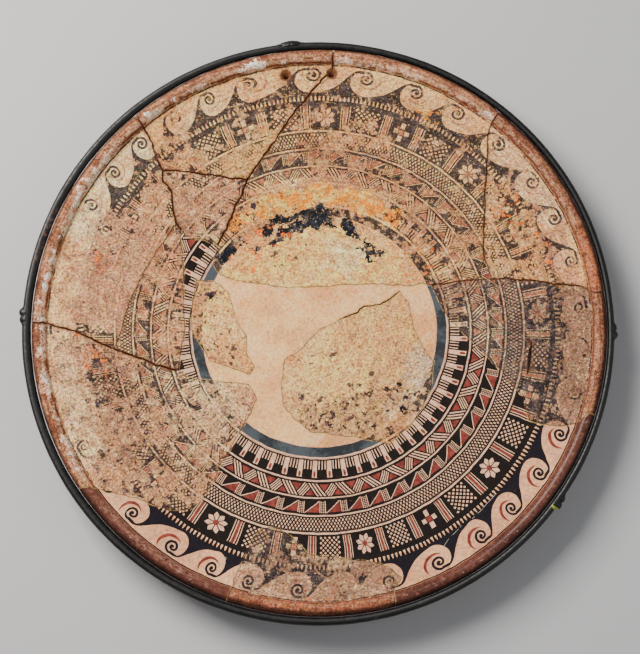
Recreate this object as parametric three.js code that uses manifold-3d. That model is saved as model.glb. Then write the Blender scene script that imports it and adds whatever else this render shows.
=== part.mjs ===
// A large shallow painted terracotta plate, put together again from eleven sherds and plaster fills,
// inside a blackened round-bar hoop. Millimetres, +Z up. The plate lies face up on its foot ring:
// the origin is on the resting plane, under the middle of the hoop and the plate together.

import * as THREE from 'three';
import { mergeVertices } from 'three/addons/utils/BufferGeometryUtils.js';
import Module from 'manifold-3d';

const wasm = await Module();
wasm.setup();

// Plate body
const plateRadius = 270;
const wallThickness = 9;
const dishDepth = 22.5;            // from the foot of the rim bead down to the medallion
const medallionRadius = 112;
const wallSag = 0.25;              // how far the wall hangs below a straight cone, as a share
const beadWidth = 13.5;            // the rolled rim, measured along the radius
const beadRise = 7.5;              // crest of the bead above the foot of its inner side
const beadDrop = 5;                // from the crest down to the widest point
const crestInset = 5.5;            // from the plate's outer edge in to the crest
const beadSkirt = 7.5;             // from the widest point down to the underside
const skirtInset = 6;              // from the plate's outer edge in to where the skirt ends

// Foot ring
const footRadius = 118;
const footFaceWidth = 8;
const footRootWidth = 18;
const footHeight = 10;
const footRootRise = 0.5;          // the ring's outer root is this much higher than its inner root

// Drilled suspension holes near the rim
const holeDiameter = 6;
const holeMouthDiameter = 10.5;
const holeMouthDepth = 2.2;
const holeMouthLift = 1;           // the mouth's cone starts this far above the face, which slopes
const holeInset = 22;              // hole centre to the plate's outer edge
const holeAngles = [97.5, 87.3];

// Joints between the pieces
const glueGap = 0.3;
const openCrackWidth = 2.6;
const leftFillWaist = 5.6;         // narrowest width of the left fill, from its sherd to the fills' joint

// Hoop and its lumps
const hoopBarDiameter = 6.6;
const hoopClearance = 0.3;
const hoopOffset = 1.2;            // the hoop sits this far to the left of the plate's axis
const hoopDrop = 0.8;              // bar centre below the widest point of the rim
const lugClearance = 0.3;
const jointAngle = 95.5;
const jointLength = 26;
const jointProud = 2.6;            // how far the lump stands out of the bar
const jointHeight = 9.2;
const lugAngles = { hoop_lug_left: 178, hoop_lug_right: 359, hoop_lug_lower_right: 323.5 };
const lugPitch = 6.7;              // between the two beads of a lug
const lugLength = 10.4;            // of one bead
const lugProud = 3.2;
const smallLugProud = 2.4;
const lugHeight = 8;

// Facets
const turnSteps = 96;
const wallSteps = 6;
const beadSteps = 3;
const barSides = 10;
const ballSteps = 10;
const drillSides = 14;

// Cutters reach this share of the radius past the rim, and this far above and below the plate.
const beyondRim = 1.12;
const cutterMargin = 5;

const terracotta = (name, colour) => new THREE.MeshStandardMaterial({
  name, color: colour, roughness: 0.82, metalness: 0,
});
const plaster = (name, colour) => new THREE.MeshStandardMaterial({
  name, color: colour, roughness: 0.6, metalness: 0,
});
const blackenedSteel = name => new THREE.MeshStandardMaterial({
  name, color: 0x17181a, roughness: 0.42, metalness: 0.6,
});

const group = new THREE.Group();

// Solids and booleans

function toSolid(geometry) {
  const bare = geometry.clone();
  bare.deleteAttribute('normal');
  bare.deleteAttribute('uv');
  const merged = mergeVertices(bare, 1e-4);
  const mesh = new wasm.Mesh({
    numProp: 3,
    vertProperties: new Float32Array(merged.attributes.position.array),
    triVerts: new Uint32Array(merged.index.array),
  });
  return new wasm.Manifold(mesh);
}

function toGeometry(solid) {
  const mesh = solid.getMesh();
  const geometry = new THREE.BufferGeometry();
  geometry.setAttribute('position', new THREE.BufferAttribute(new Float32Array(mesh.vertProperties), 3));
  geometry.setIndex(new THREE.BufferAttribute(new Uint32Array(mesh.triVerts), 1));
  geometry.computeVertexNormals();
  return geometry;
}

function addPiece(name, solid, material) {
  const mesh = new THREE.Mesh(toGeometry(solid), material);
  mesh.name = name;
  group.add(mesh);
}

// Plan drawing

const polar = (radius, degrees) => {
  const turn = THREE.MathUtils.degToRad(degrees);
  return [radius * Math.cos(turn), radius * Math.sin(turn)];
};

// Crack points are drawn in hundredths of the plate's radius, X to the right and Y to the holes.
const onPlate = ([x, y]) => [x * plateRadius / 100, y * plateRadius / 100];

// The way round outside the rim from one crack's end to the next, counterclockwise.
function roundTheRim(from, to) {
  const sweep = ((to - from) % 360 + 360) % 360;
  const steps = Math.ceil(sweep / 12);
  const points = [];
  for (let i = 0; i <= steps; i++) {
    points.push(polar(plateRadius * beyondRim, from + sweep * i / steps));
  }
  return points;
}

// Joins stretches of crack into one closed outline without doubled corners.
function outline(...stretches) {
  const points = [];
  for (const point of stretches.flat()) {
    const last = points[points.length - 1];
    if (!last || Math.hypot(point[0] - last[0], point[1] - last[1]) > 0.5) points.push(point);
  }
  const [first, last] = [points[0], points[points.length - 1]];
  if (Math.hypot(first[0] - last[0], first[1] - last[1]) < 0.5) points.pop();
  return points;
}

const back = stretch => [...stretch].reverse();

// Moves every side of a counterclockwise outline inwards by the given distance.
function inset(points, distance) {
  return points.map((point, i) => {
    const before = new THREE.Vector2(...points[(i + points.length - 1) % points.length]);
    const here = new THREE.Vector2(...point);
    const after = new THREE.Vector2(...points[(i + 1) % points.length]);
    const arriving = here.clone().sub(before).normalize();
    const leaving = after.sub(here).normalize();
    const inwardA = new THREE.Vector2(-arriving.y, arriving.x);
    const inwardB = new THREE.Vector2(-leaving.y, leaving.x);
    const bisector = inwardA.add(inwardB).normalize();
    const stretch = Math.max(0.35, bisector.dot(inwardB));
    const moved = here.addScaledVector(bisector, distance / stretch);
    return [moved.x, moved.y];
  });
}

// Plate section

const innerBeadRadius = plateRadius - beadWidth;
const medallionTop = footHeight + wallThickness;
const beadFoot = medallionTop + dishDepth;
const crest = beadFoot + beadRise;
const widest = crest - beadDrop;
const holeRadius = plateRadius - holeInset;

// Height of the painted face at a radius: a level medallion, then a wall that rises in a soft curve.
function faceHeight(radius) {
  if (radius <= medallionRadius) return medallionTop;
  const share = (radius - medallionRadius) / (innerBeadRadius - medallionRadius);
  return medallionTop + dishDepth * (share - wallSag * share * (1 - share));
}

// Points of a quarter ellipse about a centre, from one compass angle to another, without the first.
function quarter(centre, halfWidth, halfHeight, from, to) {
  const points = [];
  for (let i = 1; i <= beadSteps; i++) {
    const turn = THREE.MathUtils.degToRad(from + (to - from) * i / beadSteps);
    points.push([centre[0] + halfWidth * Math.cos(turn), centre[1] + halfHeight * Math.sin(turn)]);
  }
  return points;
}

function plateProfile() {
  const half = footRootWidth / 2;
  const halfFace = footFaceWidth / 2;
  const points = [
    [0, footHeight],
    [footRadius - half, footHeight],
    [footRadius - halfFace, 0],
    [footRadius + halfFace, 0],
    [footRadius + half, footHeight + footRootRise],
  ];
  const wallStart = footRadius + half;
  const wallEnd = plateRadius - skirtInset;
  for (let i = 1; i < wallSteps; i++) {
    const radius = wallStart + (wallEnd - wallStart) * i / wallSteps;
    points.push([radius, faceHeight(Math.min(radius, innerBeadRadius)) - wallThickness]);
  }
  // The rolled bead: out round its skirt, over its crest, and down to the painted face.
  points.push([wallEnd, widest - beadSkirt]);
  points.push(...quarter([wallEnd, widest], skirtInset, beadSkirt, -90, 0));
  points.push(...quarter([plateRadius - crestInset, widest], crestInset, beadDrop, 0, 90));
  points.push(...quarter([plateRadius - crestInset, beadFoot], beadWidth - crestInset, beadRise, 90, 180));
  for (let i = 1; i <= wallSteps; i++) {
    const radius = innerBeadRadius + (medallionRadius - innerBeadRadius) * i / wallSteps;
    points.push([radius, faceHeight(radius)]);
  }
  points.push([0, medallionTop]);
  return points;
}

function plateBody() {
  const profile = plateProfile().map(([radius, height]) => new THREE.Vector2(radius, height));
  const lathe = new THREE.LatheGeometry(profile, turnSteps);
  lathe.rotateX(Math.PI / 2);
  let body = toSolid(lathe);
  for (const angle of holeAngles) {
    body = body.subtract(suspensionHole(angle));
  }
  return body.subtract(openCrack());
}

// A drilled hole with a worn, widened mouth on the painted face.
function suspensionHole(angle) {
  const face = faceHeight(holeRadius);
  const above = crest + cutterMargin;
  const drill = [
    [0, -cutterMargin],
    [holeDiameter / 2, -cutterMargin],
    [holeDiameter / 2, face - holeMouthDepth],
    [holeMouthDiameter / 2, face + holeMouthLift],
    [holeMouthDiameter / 2, above],
    [0, above],
  ].map(([radius, height]) => new THREE.Vector2(radius, height));
  const lathe = new THREE.LatheGeometry(drill, drillSides);
  lathe.rotateX(Math.PI / 2);
  const [x, y] = polar(holeRadius, angle);
  return toSolid(lathe.translate(x, y, 0));
}

// An upright block of the given plan, tall enough to pass through the whole plate.
function prism(points) {
  const shape = new THREE.Shape(points.map(([x, y]) => new THREE.Vector2(x, y)));
  const block = new THREE.ExtrudeGeometry(shape, {
    depth: crest + 2 * cutterMargin,
    bevelEnabled: false,
  });
  return toSolid(block.translate(0, 0, -cutterMargin));
}

// The gaping crack inside the right sherd: a lens-shaped slit.
function openCrack() {
  const [top, middle, bottom] = [[74.1, -4.8], [73.5, -10], [72.6, -15.9]].map(onPlate);
  const half = openCrackWidth / 2;
  return prism([top, [middle[0] - half, middle[1]], bottom, [middle[0] + half, middle[1]]]);
}

// Cracks and sherd edges, drawn in plan. Each runs from one junction to the next.

const junctionAB = [-55.6, 56.7];
const junctionBC = [-25.6, 54.4];
const junctionHair = [-50.7, 38.1];
const junctionHairF = [-71.5, -7];
const innerLeftTop = [-49.3, 35.6];
const innerTopCorner = [-35.9, 30.7];
const tipOfF = [-50, -14.4];
const tipOfRight = [40, 15.9];
const wedgeBottomLeft = [56.3, 18.1];
const wedgeBottomRight = [60.4, 18];
const wedgeTop = [58.3, 25.2];

// Compass angles where the cracks run out over the rim, in degrees
const rimAngles = {
  a: 130.1,
  c: 87.0,
  d: 52.2,
  e: 6.2,
  f: 179.4,
  lowerLeft: 212.4,
  bottomLeft: 251.7,
  bottomRight: 284.2,
  right: 342.9,
};

const draw = points => points.map(onPlate);

const crackA = draw([[-62.6, 72.2], [-59.6, 66.7], [-57.8, 60.7], junctionAB]);
const crackAInner = draw([junctionAB, [-55.2, 53], [-52.2, 49.3], [-51.9, 44.1], junctionHair]);
const crackAEnd = draw([junctionHair, innerLeftTop]);
const leftInnerEdge = draw([
  innerLeftTop, [-48.1, 23.7], [-48.1, 11.5], [-47.4, 1.9], [-48.5, -8.1], tipOfF,
]);
const hairline = draw([
  junctionHair, [-54.1, 33], [-59.3, 24.8], [-63, 18.5], [-66.7, 9.6], [-69.6, -1.5], junctionHairF,
]);
const crackB = draw([
  junctionAB, [-48.9, 56.7], [-42.2, 55.9], [-36.3, 55.6], [-31.1, 54.4], junctionBC,
]);
const crackCOuter = draw([
  [4.6, 94.8], [4.1, 92.2], [0.7, 90], [-3.7, 84.1], [-8.9, 78.5], [-12.6, 73], [-15.6, 68.9],
  [-21.1, 60.4], junctionBC,
]);
const crackCInner = draw([junctionBC, [-27.4, 48.9], [-30, 44.1], [-33, 37], innerTopCorner]);
const innerSherdFoot = draw([innerLeftTop, [-45.9, 33.3], [-41.5, 32.6], innerTopCorner]);
const crackD = draw([
  [60.7, 71.5], [59.6, 66.3], [59.3, 58.9], [58.9, 48.9], [58.5, 41.5], [58.1, 32.6], wedgeTop,
]);
const wedgeLeft = draw([wedgeTop, [57, 21.5], wedgeBottomLeft]);
const wedgeRight = draw([wedgeTop, wedgeBottomRight]);
const crackEInner = draw([tipOfRight, [48.1, 17.4], wedgeBottomLeft]);
const wedgeFoot = draw([wedgeBottomLeft, wedgeBottomRight]);
const crackEOuter = draw([
  wedgeBottomRight, [65.2, 18.1], [77.4, 16.7], [87, 14.8], [91.9, 14.3], [95.6, 11.9],
]);
const crackFOuter = draw([
  [-94.8, 0.9], [-90, -0.4], [-84.8, -1.5], [-79.6, -3.7], [-75.9, -5.6], junctionHairF,
]);
const crackFInner = draw([junctionHairF, [-66.3, -8.9], [-60.7, -11.1], [-55.9, -13], tipOfF]);
const topSherdFoot = draw([
  innerTopCorner, [-37.4, 24.4], [-35.2, 20], [-29.3, 18.1], [-21.1, 17], [-10.4, 15.6], [1.1, 15.9],
  [11.1, 16.7], [23, 16.7], [31.1, 16.3], [36.3, 17], tipOfRight,
]);
const lowerLeftEdge = draw([
  tipOfF, [-47.8, -15.9], [-42.6, -17.4], [-31.9, -18.5], [-24.8, -18.9], [-21.9, -24.1],
  [-24.1, -29.3], [-26.3, -33], [-29.3, -38.1], [-31.5, -43], [-34.1, -47], [-36.3, -52.2],
  [-39.6, -59.3], [-43, -62.6], [-47, -63.7], [-53, -63], [-60, -60.7], [-67.8, -58.1], [-74.4, -57],
  [-79.3, -55.6],
]);
const bottomEdge = draw([
  [-29.6, -89.6], [-29.3, -87], [-27.4, -83.3], [-25.2, -78.9], [-22.2, -72.6], [-19.3, -69.3],
  [-13.7, -70], [-8.9, -73.3], [-4.4, -77.8], [0.4, -79.3], [9.3, -80], [18.5, -81.1], [23.7, -83],
  [27.8, -86.7], [27.4, -88.1], [25.9, -90], [25.2, -91.9],
]);
const rightEdge = draw([
  tipOfRight, [42.2, 10.7], [44.8, 5.2], [52.2, -2.6], [58.9, -9.6], [63.7, -14.8], [67.8, -21.1],
  [71.5, -24.4], [71.5, -28.5], [72.6, -32.6], [77, -34.1], [83, -34.8], [87.4, -34.4], [90, -33.3],
  [92.6, -30.7],
]);
const centreEdge = draw([
  [8.9, 4.8], [15.9, 8.5], [21.5, 9.3], [28.1, 14.1], [31.1, 10.4], [33.3, 1.5], [37.4, -7.4],
  [40, -11.1], [39.6, -18.9], [35.9, -27.8], [30.4, -35.2], [24.4, -40], [14.4, -38.1], [4.4, -36.7],
  [-3, -35.9], [-8.9, -31.1], [-13, -26.3], [-13.3, -17.4], [-12.2, -10.4], [-6.3, -6.3], [0, 0.7],
]);
const leftCentreEdge = draw([
  [-43.3, 18.1], [-44.6, 10.7], [-45.6, 0.7], [-41.5, -5.6], [-38.5, -10.4], [-31.9, -13],
  [-24.4, -15.6], [-23, -12.6], [-25.2, -8.1], [-25.9, -1.1], [-29.3, 3.3], [-32.6, 14.4],
  [-37.4, 17.8],
]);

// The joint between the fill of the floor and the fills of the wall runs round at one radius.
const fillJointRadius = Math.min(...leftInnerEdge.map(([x, y]) => Math.hypot(x, y))) - leftFillWaist;

const sherdOutlines = {
  sherd_top: outline(
    roundTheRim(rimAngles.d, rimAngles.c), crackCOuter, crackCInner, topSherdFoot, crackEInner,
    back(wedgeLeft), back(crackD),
  ),
  sherd_top_left: outline(
    roundTheRim(rimAngles.c, rimAngles.a), crackA, crackB, back(crackCOuter),
  ),
  sherd_upper_left_inner: outline(
    crackAInner, crackAEnd, innerSherdFoot, back(crackCInner), back(crackB),
  ),
  sherd_left_rim: outline(
    roundTheRim(rimAngles.a, rimAngles.f), crackFOuter, back(hairline), back(crackAInner), back(crackA),
  ),
  sherd_left_inner: outline(hairline, crackFInner, back(leftInnerEdge), back(crackAEnd)),
  sherd_left_centre: outline(leftCentreEdge),
  sherd_lower_left: outline(
    roundTheRim(rimAngles.f, rimAngles.lowerLeft), back(lowerLeftEdge), back(crackFInner), back(crackFOuter),
  ),
  sherd_bottom: outline(roundTheRim(rimAngles.bottomLeft, rimAngles.bottomRight), back(bottomEdge)),
  sherd_centre: outline(back(centreEdge)),
  sherd_right: outline(
    roundTheRim(rimAngles.right, rimAngles.e), back(crackEOuter), back(wedgeFoot), back(crackEInner), rightEdge,
  ),
  sherd_upper_right: outline(roundTheRim(rimAngles.e, rimAngles.d), crackD, wedgeRight, crackEOuter),
};

const sherdColours = {
  sherd_top: 0xb98f6c,
  sherd_top_left: 0xba9473,
  sherd_upper_left_inner: 0xb09078,
  sherd_left_rim: 0xbd9884,
  sherd_left_inner: 0xb08d78,
  sherd_left_centre: 0xb69a7c,
  sherd_lower_left: 0xa9886f,
  sherd_bottom: 0xc7a182,
  sherd_centre: 0xb8946b,
  sherd_right: 0xb39376,
  sherd_upper_right: 0xb88f6f,
};

const body = plateBody();

function addSherds() {
  for (const [name, points] of Object.entries(sherdOutlines)) {
    const solid = body.intersect(prism(inset(points, glueGap / 2)));
    addPiece(name, solid, terracotta(name, sherdColours[name]));
  }
}

// An upright round block about the plate's axis, as tall as the prisms.
function column(radius) {
  const height = crest + 2 * cutterMargin;
  const block = new THREE.CylinderGeometry(radius, radius, height, turnSteps);
  block.rotateX(Math.PI / 2);
  return toSolid(block.translate(0, 0, height / 2 - cutterMargin));
}

// The fills are what the sherds leave of the plate. The floor was filled first, and the walls were
// cast against it on the ring where the wall starts to rise.
function addFills() {
  let rest = body;
  for (const points of Object.values(sherdOutlines)) {
    rest = rest.subtract(prism(inset(points, -glueGap / 2)));
  }
  const bySize = (a, b) => b.volume() - a.volume();
  const [centre] = rest.intersect(column(fillJointRadius - glueGap / 2)).decompose().sort(bySize);
  const walls = rest.subtract(column(fillJointRadius + glueGap / 2)).decompose().sort(bySize);
  addPiece('fill_centre', centre, plaster('fill_centre', 0xd0aa84));
  ['fill_lower', 'fill_left', 'fill_wedge'].forEach((name, i) => {
    addPiece(name, walls[i], plaster(name, 0xc9a27c));
  });
}

// Hoop

const barRadius = hoopBarDiameter / 2;
const hoopRadius = plateRadius + hoopClearance + hoopOffset + barRadius;
const hoopHeight = widest - hoopDrop;

function barRing(radius) {
  const ring = new THREE.TorusGeometry(hoopRadius, radius, barSides, turnSteps);
  return toSolid(ring.translate(-hoopOffset, 0, hoopHeight));
}

// A bead on the outside of the bar, stretched along it.
function bead(angle, length, proud, height) {
  const ball = new THREE.SphereGeometry(1, ballSteps, ballSteps / 2);
  ball.scale(barRadius + proud, length / 2, height / 2);
  ball.rotateZ(THREE.MathUtils.degToRad(angle));
  const [x, y] = polar(hoopRadius, angle);
  return toSolid(ball.translate(x - hoopOffset, y, hoopHeight));
}

// Only the outer half of a bead is left: a ring-shaped cutter clears the bar and the rim behind it.
function lump(...beads) {
  let solid = beads[0];
  for (const next of beads.slice(1)) solid = solid.add(next);
  const keepOut = new THREE.CylinderGeometry(hoopRadius, hoopRadius, 4 * hoopBarDiameter, turnSteps);
  keepOut.rotateX(Math.PI / 2);
  keepOut.translate(-hoopOffset, 0, hoopHeight);
  return solid.subtract(barRing(barRadius + lugClearance)).subtract(toSolid(keepOut));
}

function addHoop() {
  const steel = blackenedSteel('hoop');
  addPiece('hoop', barRing(barRadius), steel);
  const joint = lump(bead(jointAngle, jointLength, jointProud, jointHeight));
  addPiece('hoop_joint_top', joint, blackenedSteel('hoop_joint_top'));
  const halfPitch = THREE.MathUtils.radToDeg(lugPitch / 2 / hoopRadius);
  for (const [name, angle] of Object.entries(lugAngles)) {
    const large = bead(angle - halfPitch, lugLength, lugProud, lugHeight);
    const small = bead(angle + halfPitch, lugLength, smallLugProud, lugHeight);
    addPiece(name, lump(large, small), blackenedSteel(name));
  }
}

addSherds();
addFills();
addHoop();

export default group;
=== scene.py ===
# A large shallow painted terracotta plate, put together again from sherds and plaster fills,
# inside a blackened round-bar hoop. The plate lies face up on its foot ring.

import functools
import math
import operator
import bpy
import bmesh
import numpy as np
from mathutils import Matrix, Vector, kdtree
from mathutils.geometry import delaunay_2d_cdt


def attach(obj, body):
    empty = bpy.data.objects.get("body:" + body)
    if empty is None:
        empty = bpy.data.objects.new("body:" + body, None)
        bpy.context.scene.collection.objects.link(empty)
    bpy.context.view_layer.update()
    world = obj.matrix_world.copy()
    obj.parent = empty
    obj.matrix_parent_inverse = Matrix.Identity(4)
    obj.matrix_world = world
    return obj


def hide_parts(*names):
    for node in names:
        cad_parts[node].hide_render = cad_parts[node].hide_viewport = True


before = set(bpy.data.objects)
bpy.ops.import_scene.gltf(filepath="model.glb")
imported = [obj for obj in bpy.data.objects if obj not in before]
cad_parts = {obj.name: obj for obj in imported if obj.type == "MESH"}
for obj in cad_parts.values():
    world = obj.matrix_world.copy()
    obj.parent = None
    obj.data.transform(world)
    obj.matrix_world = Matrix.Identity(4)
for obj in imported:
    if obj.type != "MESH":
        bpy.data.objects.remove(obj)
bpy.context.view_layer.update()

MM = 0.001
scene = bpy.context.scene

# Plate section, in millimetres, as in the CAD model

plate_radius = 270.0
wall_thickness = 9.0
dish_depth = 22.5
medallion_radius = 112.0
wall_sag = 0.25
bead_width = 13.5
bead_rise = 7.5
bead_drop = 5.0
crest_inset = 5.5
bead_skirt = 7.5
skirt_inset = 6.0
foot_radius = 118.0
foot_face_width = 8.0
foot_root_width = 18.0
foot_height = 10.0
hole_mouth_radius = 5.25
hole_mouth_depth = 2.2
hole_radius = 3.0
hole_ring = plate_radius - 22.0
hole_angles = (97.5, 87.3)
open_crack_width = 2.6
fill_joint_radius = 122.5
glue_gap = 0.3

bead_foot_radius = plate_radius - bead_width
medallion_top = foot_height + wall_thickness
bead_foot = medallion_top + dish_depth
crest = bead_foot + bead_rise
widest = crest - bead_drop

# The rim's profile is unrolled, so that a plan radius past the bead's foot counts its arc length.
arc_inner = 12.2
arc_outer = 8.3
arc_skirt = 10.6
unrolled_radius = bead_foot_radius + arc_inner + arc_outer + arc_skirt
skirt_radius = plate_radius - skirt_inset


# Smooth random values from a hashed lattice, the same on every run

def lattice(ix, iy, seed):
    h = (ix.astype(np.int64) * 374761393 + iy.astype(np.int64) * 668265263 + seed * 974634777) & 0xFFFFFFFF
    h = ((h ^ (h >> 13)) * 1274126177) & 0xFFFFFFFF
    return ((h ^ (h >> 16)) & 0xFFFF) / 65535.0 * 2 - 1


def noise2(x, y, size, seed):
    u, v = np.asarray(x) / size, np.asarray(y) / size
    iu, iv = np.floor(u), np.floor(v)
    fu, fv = u - iu, v - iv
    su, sv = fu * fu * (3 - 2 * fu), fv * fv * (3 - 2 * fv)
    a, b = lattice(iu, iv, seed), lattice(iu + 1, iv, seed)
    c, d = lattice(iu, iv + 1, seed), lattice(iu + 1, iv + 1, seed)
    return (a + (b - a) * su) * (1 - sv) + (c + (d - c) * su) * sv


def fbm(x, y, size, seed, octaves=3):
    total, gain = 0, 1.0
    for i in range(octaves):
        total = total + gain * noise2(x, y, size / 2 ** i, seed + 17 * i)
        gain *= 0.5
    return total / (2 - 2 * gain)


def smooth(low, high, value):
    t = np.clip((value - low) / (high - low), 0, 1)
    return t * t * (3 - 2 * t)


def add_object(name, mesh):
    ob = bpy.data.objects.new(name, mesh)
    scene.collection.objects.link(ob)
    return ob


def make_mesh(name, points, faces):
    """A smooth mesh from points in millimetres."""
    mesh = bpy.data.meshes.new(name)
    mesh.from_pydata((np.asarray(points) * MM).tolist(), [], faces)
    mesh.polygons.foreach_set("use_smooth", [True] * len(mesh.polygons))
    return mesh


# Section of the plate

def face_height(r):
    s = np.clip((r - medallion_radius) / (bead_foot_radius - medallion_radius), 0, 1)
    return medallion_top + dish_depth * (s - wall_sag * s * (1 - s))


# Quarter arcs of the bead: up to its crest, down to its widest circle, and in under that
crest_radius = plate_radius - crest_inset
bead_arcs = (
    (arc_inner, (crest_radius, crest_inset - bead_width, np.cos), (bead_foot, bead_rise, np.sin)),
    (arc_outer, (crest_radius, crest_inset, np.sin), (widest, bead_drop, np.cos)),
    (arc_skirt, (skirt_radius, skirt_inset, np.cos), (widest, -bead_skirt, np.sin)),
)


def top_section(rho):
    """Radius and height of the upper skin at an unrolled radius."""
    r, z = np.array(rho, float), face_height(rho)
    along = rho - bead_foot_radius
    for length, (r_mid, r_reach, r_wave), (z_mid, z_reach, z_wave) in bead_arcs:
        t = np.clip(along / length, 0, 1) * math.pi / 2
        r = np.where(along > 0, r_mid + r_reach * r_wave(t), r)
        z = np.where(along > 0, z_mid + z_reach * z_wave(t), z)
        along = along - length
    return r, z


# The foot ring's face and root, each by its inner and outer radius
face_inner, face_outer = foot_radius - foot_face_width / 2, foot_radius + foot_face_width / 2
root_inner, root_outer = foot_radius - foot_root_width / 2, foot_radius + foot_root_width / 2
under_radii = [0, root_inner - 1, root_inner + 0.6, face_inner - 0.8, face_inner + 0.6,
               face_outer - 0.6, face_outer + 0.8, root_outer - 0.8, root_outer + 0.8]
under_heights = [10, 10, 9.4, 0.8, 0, 0, 0.8, 9.9, 10.9]
for step in range(1, 13):
    under_radii.append(root_outer + 0.8 + 9.5 * step)
    under_heights.append(float(face_height(under_radii[-1])) - wall_thickness)
under_radii.append(skirt_radius)
under_heights.append(widest - bead_skirt)
under_start = 242.0


def under_section(rho):
    """Radius and height of the underside at an unrolled radius."""
    t = np.clip((rho - under_start) / (unrolled_radius - under_start), 0, 1)
    r = np.where(rho > under_start, under_start + (skirt_radius - under_start) * t, rho)
    return r, np.interp(r, under_radii, under_heights)


# Cracks and sherd edges in hundredths of the plate's radius, as in the CAD model

junction_ab = (-55.6, 56.7)
junction_bc = (-25.6, 54.4)
junction_hair = (-50.7, 38.1)
junction_hair_f = (-71.5, -7)
inner_left_top = (-49.3, 35.6)
inner_top_corner = (-35.9, 30.7)
tip_of_f = (-50, -14.4)
tip_of_right = (40, 15.9)
wedge_left_foot = (56.3, 18.1)
wedge_right_foot = (60.4, 18)
wedge_top = (58.3, 25.2)

# Where the cracks cross the rim, in degrees
rim_end = {"a": 130.1, "c": 87.0, "d": 52.2, "e": 6.2, "f": 179.4, "lower_left": 212.4,
           "bottom_left": 251.7, "bottom_right": 284.2, "right": 342.9}

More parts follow.
